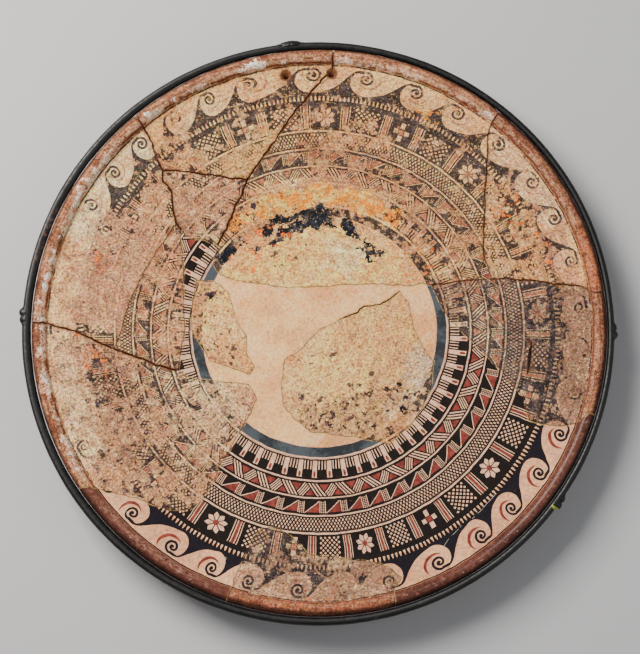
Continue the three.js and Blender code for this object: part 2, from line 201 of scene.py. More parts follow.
# Each line: its points, how dark its stain is, and how far its edges are worn
lines = {
    "a": ([(-62.6, 72.2), (-59.6, 66.7), (-57.8, 60.7), junction_ab], 1.0, 0.9),
    "a_inner": ([junction_ab, (-55.2, 53), (-52.2, 49.3), (-51.9, 44.1), junction_hair], 1.0, 0.8),
    "a_end": ([junction_hair, inner_left_top], 0.9, 0.6),
    "left_inner": ([inner_left_top, (-48.1, 23.7), (-48.1, 11.5), (-47.4, 1.9), (-48.5, -8.1),
                    tip_of_f], 0.3, 0.25),
    "hair": ([junction_hair, (-54.1, 33), (-59.3, 24.8), (-63, 18.5), (-66.7, 9.6), (-69.6, -1.5),
              junction_hair_f], 0.4, 0.12),
    "b": ([junction_ab, (-48.9, 56.7), (-42.2, 55.9), (-36.3, 55.6), (-31.1, 54.4), junction_bc], 0.85, 0.6),
    "c": ([(4.6, 94.8), (4.1, 92.2), (0.7, 90), (-3.7, 84.1), (-8.9, 78.5), (-12.6, 73), (-15.6, 68.9),
           (-21.1, 60.4), junction_bc], 1.0, 0.8),
    "c_inner": ([junction_bc, (-27.4, 48.9), (-30, 44.1), (-33, 37), inner_top_corner], 1.0, 0.75),
    "inner_foot": ([inner_left_top, (-45.9, 33.3), (-41.5, 32.6), inner_top_corner], 0.2, 0.25),
    "d": ([(60.7, 71.5), (59.6, 66.3), (59.3, 58.9), (58.9, 48.9), (58.5, 41.5), (58.1, 32.6),
           wedge_top], 0.8, 0.35),
    "wedge_left": ([wedge_top, (57, 21.5), wedge_left_foot], 0.5, 0.3),
    "wedge_right": ([wedge_top, wedge_right_foot], 0.5, 0.3),
    "e_inner": ([tip_of_right, (48.1, 17.4), wedge_left_foot], 0.7, 0.6),
    "wedge_foot": ([wedge_left_foot, wedge_right_foot], 0.6, 0.4),
    "e": ([wedge_right_foot, (65.2, 18.1), (77.4, 16.7), (87, 14.8), (91.9, 14.3), (95.6, 11.9)], 0.7, 0.6),
    "f": ([(-94.8, 0.9), (-90, -0.4), (-84.8, -1.5), (-79.6, -3.7), (-75.9, -5.6),
           junction_hair_f], 1.0, 0.7),
    "f_inner": ([junction_hair_f, (-66.3, -8.9), (-60.7, -11.1), (-55.9, -13), tip_of_f], 1.0, 0.9),
    "top_foot": ([inner_top_corner, (-37.4, 24.4), (-35.2, 20), (-29.3, 18.1), (-21.1, 17), (-10.4, 15.6),
                  (1.1, 15.9), (11.1, 16.7), (23, 16.7), (31.1, 16.3), (36.3, 17), tip_of_right], 0.12, 0.2),
    "lower_left": ([tip_of_f, (-47.8, -15.9), (-42.6, -17.4), (-31.9, -18.5), (-24.8, -18.9), (-21.9, -24.1),
                    (-24.1, -29.3), (-26.3, -33), (-29.3, -38.1), (-31.5, -43), (-34.1, -47), (-36.3, -52.2),
                    (-39.6, -59.3), (-43, -62.6), (-47, -63.7), (-53, -63), (-60, -60.7), (-67.8, -58.1),
                    (-74.4, -57), (-79.3, -55.6)], 0.08, 0.22),
    "bottom": ([(-29.6, -89.6), (-29.3, -87), (-27.4, -83.3), (-25.2, -78.9), (-22.2, -72.6), (-19.3, -69.3),
                (-13.7, -70), (-8.9, -73.3), (-4.4, -77.8), (0.4, -79.3), (9.3, -80), (18.5, -81.1),
                (23.7, -83), (27.8, -86.7), (27.4, -88.1), (25.9, -90), (25.2, -91.9)], 0.08, 0.22),
    "right": ([tip_of_right, (42.2, 10.7), (44.8, 5.2), (52.2, -2.6), (58.9, -9.6), (63.7, -14.8),
               (67.8, -21.1), (71.5, -24.4), (71.5, -28.5), (72.6, -32.6), (77, -34.1), (83, -34.8),
               (87.4, -34.4), (90, -33.3), (92.6, -30.7)], 0.08, 0.22),
    "centre_top": ([(8.9, 4.8), (15.9, 8.5), (21.5, 9.3), (28.1, 14.1)], 1.0, 0.6),
    "centre": ([(28.1, 14.1), (31.1, 10.4), (33.3, 1.5), (37.4, -7.4), (40, -11.1), (39.6, -18.9),
                (35.9, -27.8), (30.4, -35.2), (24.4, -40), (14.4, -38.1), (4.4, -36.7), (-3, -35.9),
                (-8.9, -31.1), (-13, -26.3), (-13.3, -17.4), (-12.2, -10.4), (-6.3, -6.3), (0, 0.7),
                (8.9, 4.8)], 0.12, 0.22),
    "left_centre": ([(-43.3, 18.1), (-44.6, 10.7), (-45.6, 0.7), (-41.5, -5.6), (-38.5, -10.4), (-31.9, -13),
                     (-24.4, -15.6), (-23, -12.6), (-25.2, -8.1), (-25.9, -1.1), (-29.3, 3.3), (-32.6, 14.4),
                     (-37.4, 17.8), (-43.3, 18.1)], 0.08, 0.2),
}
# The lines that start or end at the rim, and which crossing that is
starts_at_rim = {"a": "a", "c": "c", "d": "d", "f": "f", "bottom": "bottom_left"}
ends_at_rim = {"e": "e", "lower_left": "lower_left", "bottom": "bottom_right", "right": "right"}

# Plan points inside each sherd, in hundredths of the radius, that name the regions between the lines
seeds = {
    "sherd_top": (10, 60), "sherd_top_left": (-30, 75), "sherd_upper_left_inner": (-42, 45),
    "sherd_left_rim": (-80, 30), "sherd_left_inner": (-55, 5), "sherd_left_centre": (-34, 0),
    "sherd_lower_left": (-60, -40), "sherd_bottom": (0, -90), "sherd_centre": (10, -15),
    "sherd_right": (75, 0), "sherd_upper_right": (80, 40), "fill_centre": (-10, 5),
    "fill_lower": (50, -60), "fill_left": (-47.2, 30), "fill_wedge": (58.3, 20),
}


def polar_point(radius, degrees):
    t = math.radians(degrees)
    return (radius * math.cos(t), radius * math.sin(t))


def unroll(points):
    """Moves plan points past the bead's foot out to their unrolled radius."""
    points = np.asarray(points, float)
    r = np.hypot(points[:, 0], points[:, 1])
    table = np.linspace(bead_foot_radius, unrolled_radius - arc_skirt, 80)
    table_r = top_section(table)[0]
    rho = np.where(r > bead_foot_radius, np.interp(r, table_r, table), r)
    rho = np.where(r >= plate_radius, unrolled_radius - arc_skirt + (r - plate_radius) * 2, rho)
    return points * (rho / np.maximum(r, 1e-9))[:, None]


def resample(points, step):
    points = np.asarray(points, float)
    lengths = np.hypot(*np.diff(points, axis=0).T)
    marks = np.concatenate([[0], np.cumsum(lengths)])
    count = max(2, int(round(marks[-1] / step)) + 1)
    at = np.linspace(0, marks[-1], count)
    # The corners stay, so lines that meet still meet.
    at = np.unique(np.round(np.concatenate([at, marks]), 6))
    keep = [at[0]]
    for value in at[1:-1]:
        if value - keep[-1] > 0.45 * step and marks[-1] - value > 0.45 * step:
            keep.append(value)
    keep.append(at[-1])
    return np.stack([np.interp(keep, marks, points[:, i]) for i in (0, 1)], 1)


def wander(points):
    """Shifts plan points by a smooth field, so a broken line is ragged and both its sides match."""
    x, y = points[:, 0], points[:, 1]
    reach = 1 - smooth(262, 276, np.hypot(x, y))
    dx = 1.0 * noise2(x, y, 11, 5) + 0.7 * noise2(x, y, 5, 6) + 0.42 * noise2(x, y, 2.3, 7)
    dy = 1.0 * noise2(x, y, 11, 8) + 0.7 * noise2(x, y, 5, 9) + 0.42 * noise2(x, y, 2.3, 10)
    return points + 0.75 * np.stack([dx * reach, dy * reach], 1)


# One planar triangulation of the unrolled plate, with every crack as a forced edge

crack_step = 1.15
hole_step = 1.1
circle_step = 1.9
coarse, fine = 2.9, 2.3
slit_line = [(74.1, -4.8), (73.5, -10), (72.6, -15.9)]


def ring(radius, step, centre=(0.0, 0.0), turn=0.0):
    n = max(8, int(round(2 * math.pi * radius / step)))
    t = np.arange(n) / n * 2 * math.pi + turn
    return np.stack([centre[0] + radius * np.cos(t), centre[1] + radius * np.sin(t)], 1)


def line_points(name):
    parts = [(x * plate_radius / 100, y * plate_radius / 100) for x, y in lines[name][0]]
    if name in starts_at_rim:
        parts.insert(0, polar_point(plate_radius * 1.12, rim_end[starts_at_rim[name]]))
    if name in ends_at_rim:
        parts.append(polar_point(plate_radius * 1.12, rim_end[ends_at_rim[name]]))
    return unroll(wander(resample(parts, crack_step)))


def slit_points():
    """The outline of the open crack in the right sherd."""
    top, middle, foot = np.array(slit_line) * plate_radius / 100
    half = np.array([open_crack_width / 2, 0])
    slit = resample([top, middle - half, foot, middle + half, top], hole_step)[:-1]
    return slit + 0.35 * np.stack([noise2(slit[:, 0], slit[:, 1], 2.2, 31), 0 * slit[:, 0]], 1), slit


def tree_of(points):
    tree = kdtree.KDTree(len(points))
    for i, (x, y) in enumerate(points):
        tree.insert((x, y, 0), i)
    tree.balance()
    return tree


def rows_beside(path, near):
    """Rows of points on both sides of a crack, for its worn edge."""
    tangent = np.gradient(path, axis=0)
    tangent /= np.maximum(np.hypot(*tangent.T), 1e-9)[:, None]
    normal = np.stack([-tangent[:, 1], tangent[:, 0]], 1)
    rows = []
    for distance, every in ((1.35, 1), (2.7, 2)):
        for side in (-1, 1):
            for p in path[::every] + side * distance * normal[::every]:
                if near.find((p[0], p[1], 0))[2] > 0.8 * distance:
                    rows.append(tuple(p))
    return rows


def grid_points():
    """Rings of points over the whole plan, closest where the section bends."""
    radii = [*np.arange(6, 107, coarse), 108.0, 109.6, 111.4, 113.2, 114.6, 116.8, 119.2, 121.4, 124.4, 126.2,
             127.8, *np.arange(130.2, bead_foot_radius - 1.2, 2.15), bead_foot_radius - 0.6,
             *np.linspace(bead_foot_radius + 0.6, unrolled_radius - 1.4, 21)]
    rings = [ring(r, coarse if r < 107 else fine, turn=i * 0.618) for i, r in enumerate(radii)]
    return np.concatenate(rings)


def build_plan():
    points, edges, kinds = [], [], []

    def add(path, kind, closed=False):
        start, n = len(points), len(path)
        points.extend(map(tuple, path))
        for i in range(n - 1 + closed):
            edges.append((start + i, start + (i + 1) % n))
            kinds.append(kind)

    joints = [(line_points(name), name) for name in lines]
    for path, name in joints:
        add(path, name)
    add(ring(unrolled_radius, circle_step), "rim", True)
    add(ring(fill_joint_radius, circle_step), "floor", True)
    mouths = [polar_point(hole_ring, angle) for angle in hole_angles]
    holes = [(ring(hole_mouth_radius, hole_step, mouth), "hole") for mouth in mouths]
    for path, name in holes:
        add(path, name, True)
    jagged, slit = slit_points()
    add(jagged, "slit", True)
    joints.append((slit, "slit"))

    near = tree_of([p for path, _ in joints + holes for p in path])
    joint_names = [name for path, name in joints + holes for _ in path]
    beside = [p for path, _ in joints for p in rows_beside(path, near)]
    taken = tree_of(beside)
    for i, (x, y) in enumerate(beside):
        if all(j >= i for _, j, _ in taken.find_range((x, y, 0), 0.55)):
            points.append((x, y))
    points.extend((x, y) for x, y in grid_points().tolist() if near.find((x, y, 0))[2] >= 3.6)

    result = delaunay_2d_cdt([Vector(p) for p in points], edges, [], 0, 1e-4, True)
    edge_kind = {}
    for pair, origins in zip(result[1], result[4]):
        for origin in origins:
            if origin < len(kinds):
                edge_kind[key_of(*pair)] = kinds[origin]
    return np.array([tuple(v) for v in result[0]]), np.array(result[2]), edge_kind, near, joint_names


def key_of(a, b):
    return min(a, b), max(a, b)


def sides(triangle):
    a, b, c = triangle
    return (a, b), (b, c), (c, a)


def label_regions():
    """Floods from each seed up to the forced edges, and gives every triangle its piece's name."""
    owner = {}
    for i, triangle in enumerate(tris.tolist()):
        for side in sides(triangle):
            owner.setdefault(key_of(*side), []).append(i)
    shared = {key: pair for key, pair in owner.items() if len(pair) == 2}
    neighbours = [[] for _ in tris]
    for key, (i, j) in shared.items():
        if key not in edge_kind:
            neighbours[i].append(j)
            neighbours[j].append(i)
    region = [-1] * len(tris)
    for start in range(len(tris)):
        if region[start] >= 0:
            continue
        region[start] = start
        stack = [start]
        while stack:
            for k in neighbours[stack.pop()]:
                if region[k] < 0:
                    region[k] = start
                    stack.append(k)
    centres = verts[tris].mean(axis=1)
    names = {}
    for name, seed in seeds.items():
        target = np.array(seed) * plate_radius / 100
        names[region[int(np.argmin(np.hypot(*(centres - target).T)))]] = name
    # A region that the floor's joint cuts off belongs to the sherd across that joint.
    for _ in range(3):
        for key, (i, j) in shared.items():
            if edge_kind.get(key) != "floor":
                continue
            for here, there in ((region[i], region[j]), (region[j], region[i])):
                if here not in names and names.get(there, "").startswith("sherd"):
                    names[here] = names[there]
    label = np.array([names.get(r, "") for r in region], dtype=object)
    label[np.hypot(*centres.T) > unrolled_radius] = ""
    return label


def face_relief(x, y, rho, name):
    """Unevenness of the painted face: wheel ridges, dips and flaked spots."""
    fill = name.startswith("fill")
    seed = 100 + 7 * sum(map(ord, name))
    wave = 0.38 * fbm(x, y, 70, 41, 2)
    ridges = 0.10 * np.sin(rho * 2 * math.pi / 8.5 + 2 * noise2(x, y, 60, 42))
    if fill:
        h = -0.35 + wave * 0.6 + 0.07 * fbm(x, y, 16, seed, 2)
        # The floor's fill is a smooth trowelled coat, a little hollow in its middle.
        if name == "fill_centre":
            h = h - 0.25 + 0.1 * fbm(x, y, 30, 77, 2)
    else:
        pits = -0.55 * smooth(0.42, 0.75, noise2(x, y, 4.2, seed)) * smooth(-0.1, 0.5, fbm(x, y, 26, 43, 2))
        flakes = -0.30 * smooth(0.05, 0.12, fbm(x, y, 13, 44, 4))
        h = wave + ridges + 0.22 * fbm(x, y, 9, seed, 3) + pits + flakes
    rim = smooth(bead_foot_radius, bead_foot_radius + 3, rho)
    chips = -0.55 * smooth(0.35, 0.8, fbm(x, y, 11, 45, 3)) - 0.12 * (1 + noise2(x, y, 6, 46))
    if fill:
        chips = chips * 0.25
    h = h * (1 - rim) + chips * rim
    return h * (1 - 0.8 * smooth(unrolled_radius - 10, unrolled_radius, rho))


def skin(plan, name, upper):
    """Lifts unrolled plan points on to the plate's upper or lower skin, in millimetres."""
    rho = np.hypot(plan[:, 0], plan[:, 1])
    rho = np.minimum(rho, unrolled_radius)
    unit = plan / np.maximum(np.hypot(plan[:, 0], plan[:, 1]), 1e-9)[:, None]
    if upper:
        r, z = top_section(rho)
        x, y = unit[:, 0] * r, unit[:, 1] * r
        h = face_relief(x, y, rho, name)
        # On the bead the unevenness goes square to its surface.
        lean = smooth(bead_foot_radius + arc_inner, unrolled_radius, rho)
        r = r + np.minimum(h, 0) * lean
        z = z + h * (1 - lean)
        return np.stack([unit[:, 0] * r, unit[:, 1] * r, z], 1)
    r, z = under_section(rho)
    x, y = unit[:, 0] * r, unit[:, 1] * r
    foot = smooth(12, 2, z)
    h = 0.3 * fbm(x, y, 45, 51, 2) + 0.14 * np.sin(r * 2 * math.pi / 6.4 + noise2(x, y, 50, 52))
    h = h + 0.15 * fbm(x, y, 7, 53, 3)
    return np.stack([x, y, z + h * (1 - foot) * (1 - smooth(250, 264, r))], 1)


stain_of = {name: spec[1] for name, spec in lines.items()} | {"floor": 0.0, "slit": 1.0, "hole": 0.5}
wear_of = {name: spec[2] for name, spec in lines.items()} | {"floor": 0.0, "slit": 0.25, "hole": 0.2}
verts, tris, edge_kind, near, joint_names = build_plan()
label = label_regions()


def unit(vectors, least):
    """Unit vectors, made longer where two edges meet, so that both edges move by the same width."""
    length = np.hypot(*vectors.T)
    out = vectors / np.maximum(length, 1e-9)[:, None]
    out[length < 1e-6] = 0
    return out / np.clip(length / 2, least, 1)[:, None]


def make_piece(name):
    """One sherd or fill: its upper and lower skins, and the broken faces between them."""
    mine = tris[label == name]
    area = np.cross(verts[mine[:, 1]] - verts[mine[:, 0]], verts[mine[:, 2]] - verts[mine[:, 0]])
    mine[area < 0] = mine[area < 0][:, ::-1]
    used, faces = np.unique(mine, return_inverse=True)
    faces = faces.reshape(mine.shape)
    plan = verts[used]
    x, y = plan.T
    n = len(plan)

    # The piece's border: inward normals, wear, and which of its edges become broken faces
    directed = dict.fromkeys(side for triangle in faces.tolist() for side in sides(triangle))
    crack_normal, hole_normal = np.zeros((n, 2)), np.zeros((n, 2))
    wear, on_border, on_rim = np.zeros(n), np.zeros(n, bool), np.zeros(n, bool)
    walls = []
    for a, b in directed:
        if (b, a) in directed:
            continue
        kind = edge_kind.get(key_of(int(used[a]), int(used[b])), "floor")
        if kind == "rim":
            on_rim[[a, b]] = True
            continue
        along = plan[b] - plan[a]
        inward = np.array([-along[1], along[0]]) / max(np.hypot(*along), 1e-9)
        for v in (a, b):
            (hole_normal if kind == "hole" else crack_normal)[v] += inward
            wear[v] = max(wear[v], wear_of[kind])
        on_border[[a, b]] = True
        walls.append((a, b))
    crack_normal, hole_normal = unit(crack_normal, 0.35), unit(hole_normal, 1.0)

    fill = name.startswith("fill")
    seed = 300 + 3 * sum(map(ord, name))
    ragged = 0.55 + 0.6 * noise2(x, y, 3.1, seed) + 0.5 * noise2(x, y, 9, seed + 1)
    ragged = np.clip(ragged, 0.08, 1.6) * (0.25 if fill else 1.0)
    found = [near.find((px, py, 0)) for px, py in plan]
    distance = np.array([d for _, _, d in found])
    stain = np.array([stain_of[joint_names[j]] for _, j, _ in found])

    def drawn_back(crack, hole):
        """The plan, moved back from its cracks and holes. The rim's points stay on the outermost circle."""
        p = plan + crack_normal * np.broadcast_to(crack, n)[:, None] - hole_normal * hole
        scale = np.where(on_rim, unrolled_radius / np.maximum(np.hypot(*p.T), 1e-9), 1.0)
        return p * scale[:, None]

    # A fill's edges are crisper than a sherd's.
    worn_width, worn_sink = 0.75, 0.2 if fill else 0.75
    row_reach, row_sink = 1.6, 0.35 * (0.15 if fill else 1)
    half_gap = glue_gap / 2
    mouth = hole_mouth_radius - hole_radius
    top = skin(drawn_back(half_gap + wear * ragged * worn_width, 0.0), name, True)
    # A worn edge is sunk, and the next row in from it sinks a little too.
    edge = on_border.astype(float)
    soft = (1 - edge) * np.exp(-(distance / row_reach) ** 2) * row_sink
    soft = soft * np.clip(noise2(x, y, 4, seed + 2) + 0.6, 0, 1.5)
    top[:, 2] -= edge * wear * ragged * worn_sink + soft
    base = skin(drawn_back(half_gap + 0.25, mouth - 0.5), name, False)
    body = drawn_back(half_gap, mouth)
    edge_top, edge_low = skin(body, name, True), skin(body, name, False)
    thickness = np.maximum(np.linalg.norm(edge_top - edge_low, axis=1), 1)
    depth = np.clip(0.9 + 1.6 * wear * ragged, 0.5, 3.2)
    depth = np.where(np.hypot(*hole_normal.T) > 0, hole_mouth_depth, depth)
    shoulders = edge_top + (edge_low - edge_top) * (depth / thickness)[:, None]
    heels = edge_top + (edge_low - edge_top) * (1 - 0.5 / thickness)[:, None]

    # On the rim, one point serves both skins. On the border, a shoulder and a heel lie between them.
    free, ridge = np.where(~on_rim)[0], np.where(on_border & ~on_rim)[0]
    lower = np.arange(n)
    lower[free] = n + np.arange(len(free))
    shoulder, heel = lower.copy(), lower.copy()
    shoulder[ridge] = n + len(free) + np.arange(len(ridge))
    heel[ridge] = shoulder[ridge] + len(ridge)
    polygons = faces.tolist() + lower[faces[:, ::-1]].tolist()
    columns = [column.tolist() for column in (np.arange(n), shoulder, heel, lower)]
    for a, b in walls:
        for high, low in zip(columns, columns[1:]):
            loop = [low[a], low[b], high[b], high[a]]
            clean = [v for k, v in enumerate(loop) if v != loop[k - 1]]
            if len(set(clean)) >= 3:
                polygons.append(clean)

    points = np.concatenate([top, base[free], shoulders[ridge], heels[ridge]])
    mesh = make_mesh(name + "_form", points, polygons)
    mesh.polygons.foreach_set("material_index", [0] * len(faces) + [1] * (len(polygons) - len(faces)))
    for key, values, below in (("joint_distance", distance, 50.0), ("joint_stain", stain, 0.0)):
        values = np.concatenate([values, np.full(len(free), below), np.zeros(2 * len(ridge))])
        mesh.attributes.new(key, "FLOAT", "POINT").data.foreach_set("value", values.astype(np.float32))
    mesh.update()
    mesh.validate()
    mesh.set_sharp_from_angle(angle=math.radians(50))
    return add_object(name + "_painted", mesh)


pieces = {name: make_piece(name) for name in seeds}


# Material expressions: thin arithmetic over shader nodes

class Value:
    """What a node gives. Arithmetic and comparisons with it add nodes; & | ~ work on masks from 0 to 1."""

    def __init__(self, sheet, socket):
        self.sheet, self.socket = sheet, socket

    def __invert__(self):
        return self.sheet.math("SUBTRACT", 1.0, self)

    def __abs__(self):
        return self.sheet.math("ABSOLUTE", self)


def node_operator(operation, swapped=False):
    if swapped:
        return lambda self, other: self.sheet.math(operation, other, self)
    return lambda self, other: self.sheet.math(operation, self, other)


for sign, operation in (("add", "ADD"), ("sub", "SUBTRACT"), ("mul", "MULTIPLY"), ("truediv", "DIVIDE")):
    setattr(Value, f"__{sign}__", node_operator(operation))
    setattr(Value, f"__r{sign}__", node_operator(operation, True))
for sign, operation in (("lt", "LESS_THAN"), ("gt", "GREATER_THAN"), ("and", "MULTIPLY"), ("or", "MAXIMUM")):
    setattr(Value, f"__{sign}__", node_operator(operation))


def lin(colour):
    """A colour from 8-bit sRGB to linear values."""
    shares = [v / 255 for v in colour]
    return [v / 12.92 if v <= 0.04045 else ((v + 0.055) / 1.055) ** 2.4 for v in shares]


class Sheet:
    """A node tree. Each call adds nodes to it; a colour is a Value or three 8-bit sRGB numbers."""

    def __init__(self, tree):
        self.tree = tree

    def put(self, socket, value):
        if isinstance(value, Value):
            self.tree.links.new(value.socket, socket)
        elif isinstance(value, tuple) and len(value) == 3 and len(socket.default_value) == 4:
            socket.default_value = (*lin(value), 1)
        else:
            socket.default_value = value

    def add(self, kind, inputs=(), output=0, **settings):
        node = self.tree.nodes.new("ShaderNode" + kind)
        for key, value in settings.items():
            setattr(node, key, value)
        for key, value in inputs:
            self.put(node.inputs[key], value)
        return Value(self, node.outputs[output])

    def math(self, operation, *values):
        return self.add("Math", enumerate(values), operation=operation)

    def fract(self, value):
        return self.math("FRACT", value)

    def length(self, x, y):
        return self.math("SQRT", x * x + y * y)

    def turns(self, x, y):
        return self.math("ARCTAN2", y, x) / (2 * math.pi)

    def between(self, value, low, high):
        return (value > low) & (value < high)

    def ramp(self, value, low, high, start=0.0, end=1.0, shape="SMOOTHSTEP"):
        return self.add("MapRange", enumerate((value, low, high, start, end)), interpolation_type=shape)

    def mix(self, factor, a, b, blend="MIX"):
        return self.add("Mix", zip((0, 6, 7), (factor, a, b)), 2, data_type="RGBA", blend_type=blend,
                        clamp_result=blend != "MIX")

    def coat(self, under, over, value, low, high, amount=1.0):
        """One colour laid over another where the value goes from low to high."""
        return self.mix(self.ramp(value, low, high, 0.0, amount), under, over)

    def coats(self, colour, *layers):
        for layer in layers:
            colour = self.coat(colour, *layer)
        return colour

    def noise(self, vector, scale, detail=2.0, rough=0.5, colour=False, distort=0.0):
        names = ("Vector", "Scale", "Detail", "Roughness", "Distortion")
        return self.add("TexNoise", zip(names, (vector, scale, detail, rough, distort)), int(colour))

    def grit(self, colour, vector, scale, light, hue):
        """The colour with fine grains of lighter, darker and slightly other hues."""
        grey = self.noise(self.shift(vector, (0, 4, 4)), scale, 4.0, 0.7)
        colour = self.mix(1.0, colour, (grey - 0.5) * (light * 2.0) + 1.0, "MULTIPLY")
        hues = self.noise(self.shift(vector, (4, 0, 4)), scale * 0.6, 3.0, 0.65, True)
        tint = self.add("VectorMath", enumerate((hues, (hue * 2.0,) * 3, (1.0 - hue,) * 3)),
                        operation="MULTIPLY_ADD")
        return self.mix(1.0, colour, tint, "MULTIPLY")

    def cells(self, vector, scale):
        return self.add("TexVoronoi", (("Vector", vector), ("Scale", scale)), "Distance")

    def shift(self, vector, by):
        return self.add("VectorMath", enumerate((vector, by)))

    def split(self, vector):
        node = self.add("SeparateXYZ", [(0, vector)]).socket.node
        return [Value(self, socket) for socket in node.outputs]

    def join(self, *values):
        return self.add("CombineXYZ", enumerate(values))

    def curve(self, value, points, handles="VECTOR"):
        out = self.add("FloatCurve", [("Value", value)])
        mapping = out.socket.node.mapping
        knots = mapping.curves[0].points
        for point in points[1:-1]:
            knots.new(*point)
        for knot, point in zip(knots, points):
            knot.location, knot.handle_type = point, handles
        mapping.update()
        return out

    def attribute(self, name):
        return self.add("Attribute", (), "Fac", attribute_name=name)

    def place(self):
        return self.add("TexCoord", (), "Object")


# Where the repeats of the bands lie, in degrees round the plate from the right, towards the holes

wave_places = [225.3, 236.8, 246.4, 254.6, 265.5, 275.5, 285.2, 296.7, 307.5, 316.2, 326, 335.6, 345.2, 354.7,
               364.3, 375, 385.1, 394.6, 406.2, 417.6, 427.9, 439.5, 451.4, 466.4, 475.6, 484.2, 493.8, 502.6,
               511.5, 522, 531.3, 540.3, 549.4, 558.4, 567.3, 576.3]
# The striped bars between the frieze's panels
bar_places = [236.7, 248.1, 258.9, 268.1, 277.4, 286.2, 295.3, 303.8, 314.8, 325.6, 336.9, 347.3, 358.5,
              369.2, 381.9, 389.2, 401.1, 411.9, 423.3, 432, 443.2, 453.6, 465.4, 474.9, 486.4, 496.2,
              505.8, 513.9, 523.8, 533.7, 543.2, 551.3, 560.8, 570.6, 579.9, 587.6]

# Degrees in one cycle of the frieze, four panels of ten. The curves that even out repeats span as much.
cycle = 40.0


def evened(s, angle, places):
    """The angle with its repeats evened out, from the true place of each repeat."""
    count = len(places)
    offsets = [place - i * 360 / count for i, place in enumerate(places)]
    start = sum(offsets) / count
    knots = sorted(((at % 360) / 360, 0.5 + (start - offset) / cycle) for at, offset in zip(places, offsets))
    first, last = knots[0], knots[-1]
    share = (1 - last[0]) / (1 - last[0] + first[0])
    seam = last[1] + (first[1] - last[1]) * share
    lift = s.curve(angle / 360.0, [(0.0, seam)] + knots + [(1.0, seam)])
    return angle + (lift - 0.5) * cycle - start


def local(s, angle, period, phase):
    return (s.fract((angle - phase) / period + 0.5) - 0.5) * period


def any_of(masks):
    return functools.reduce(operator.or_, masks)


# Each band yields where it lies, where it is pale and where it is red.
# Where the bands stand, in millimetres from the plate's axis
fringe_foot, fringe_height = 124.4, 16.2
zigzag_foot, zigzag_height = 146.0, 12.0
triangle_foot, triangle_height = 162.9, 11.0
lattice_foot, lattice_top, lattice_cell = 178.8, 191.3, 5.4
frieze_foot, frieze_middle, frieze_top = 195.7, 206.6, 217.6
tooth_foot, tooth_height = 222.5, 4.9
wave_foot, wave_middle, wave_top = 227.0, 246.1, 255.9
rim_foot, rim_crest = 256.2, 260.0


def fringe(s, r, a):
    """Wide bars with a red drop, and short bars between them."""
    q = local(s, a, 360 / 61, 309.4)
    v = (r - fringe_foot) / fringe_height
    drop = s.length(q / 0.5, (v - 0.8) / 0.185) < 1.0
    wide = abs(q) < 0.95
    short = (abs(s.fract((abs(q) - 1.105) / 1.23) - 0.5) < 0.18) & (v < 0.52) & (abs(q) > 1.2)
    yield s.between(v, 0.0, 1.0), (wide & ~drop) | short, wide & drop


def zigzag(s, r, a):
    """Leaning groups of strokes between red triangles."""
    pitch = 360 / 37
    q = local(s, a, pitch, 296.0)
    v = (r - zigzag_foot) / zigzag_height

    def strip(offset):
        at = (0.36 + 0.30 * offset - v) / 1.10
        return at, s.between(at, 0.0, 1.0), s.between(at, -0.09, 1.09)

    # A strip of three strokes leaning one way lies over strips of four that lean the other way.
    over = [strip(q), strip(q + pitch)]
    below = [strip(0.0 - q), strip(pitch - q)]
    on_over = any_of(wide for _, _, wide in over)
    on_any = any_of([on_over] + [wide for _, _, wide in below])
    strokes = [core & (s.fract(at * 3.0 + 0.25) > 0.52) for at, core, _ in over]
    strokes += [core & (s.fract(at * 4.0 + 0.26) > 0.54) & ~on_over for at, core, _ in below]
    yield s.between(v, 0.0, 1.0), any_of(strokes), ~on_any & s.between(v, 0.06, 0.94)


def triangles(s, r, a):
    """Red triangles between upright ladders."""
    pitch = 360 / 53
    q = local(s, a, pitch, 291.4)
    v = (r - triangle_foot) / triangle_height
    side = abs(q)
    bars = s.between(side, 0.74, 0.99)
    rungs = s.between(side, 0.13, 0.50) & (s.fract(v * 7.0) > 0.48)
    rise = v - (1.0 - (s.fract(q / pitch + 1.0) * pitch - 1.12) / 4.55)
    field = side > 1.12
    stripe = field & (abs(rise) < 0.05)
    yield s.between(v, 0.0, 1.0), bars | rungs | stripe, field & (rise > 0.12) & (v < 0.95)


def lattice_band(s, r, a):
    v = (r - lattice_foot) / lattice_cell
    turn = a * (364 / 360)
    across = abs(s.fract(turn + v) - 0.5) < 0.28
    along = abs(s.fract(turn - v + 5.0) - 0.5) < 0.28
    yield s.between(r, lattice_foot, lattice_top), across & along, None


def frieze(s, r, a):
    """Rosettes, lattices and crosses between striped bars."""
    turn = s.fract(evened(s, a, bar_places) / cycle + 10.0) * 4.0
    which = s.math("FLOOR", turn)
    q = (s.fract(turn) - 0.5) * 10.0
    band = s.between(r, frieze_foot, frieze_top)
    e = 5.0 - abs(q)
    yield band, s.between(e, 0.35, 0.57) | s.between(e, 0.94, 1.14), e < 0.35
    is_rosette, is_cross = which < 0.5, abs(which - 2.0) < 0.5
    u, v = q * (3.75 - is_cross * 0.6), r - frieze_middle
    radius = s.length(u, v)
    off = abs(s.fract(s.math("ARCTAN2", v, u) / (math.pi / 4) + 8.0) - 0.5) * 2.0
    petals = (radius < 9.9 - 3.4 * off) & (radius * (1.0 - off) > 1.2) & (radius > 2.5)
    yield band & is_rosette, petals, radius < 2.7
    au, av = abs(u), abs(v)
    arms = ((au < 2.1) & s.between(av, 3.2, 8.9)) | ((av < 2.1) & s.between(au, 3.3, 7.4))
    yield band & is_cross, arms, (au < 2.5) & (av < 2.4)
    mesh = [abs(s.fract(w / 4.7 + 12.5) - 0.5) < 0.28 for w in (u + v, u - v)]
    yield band & ~(is_rosette | is_cross) & (e > 2.2) & (abs(v) < 10.4), mesh[0] & mesh[1], None


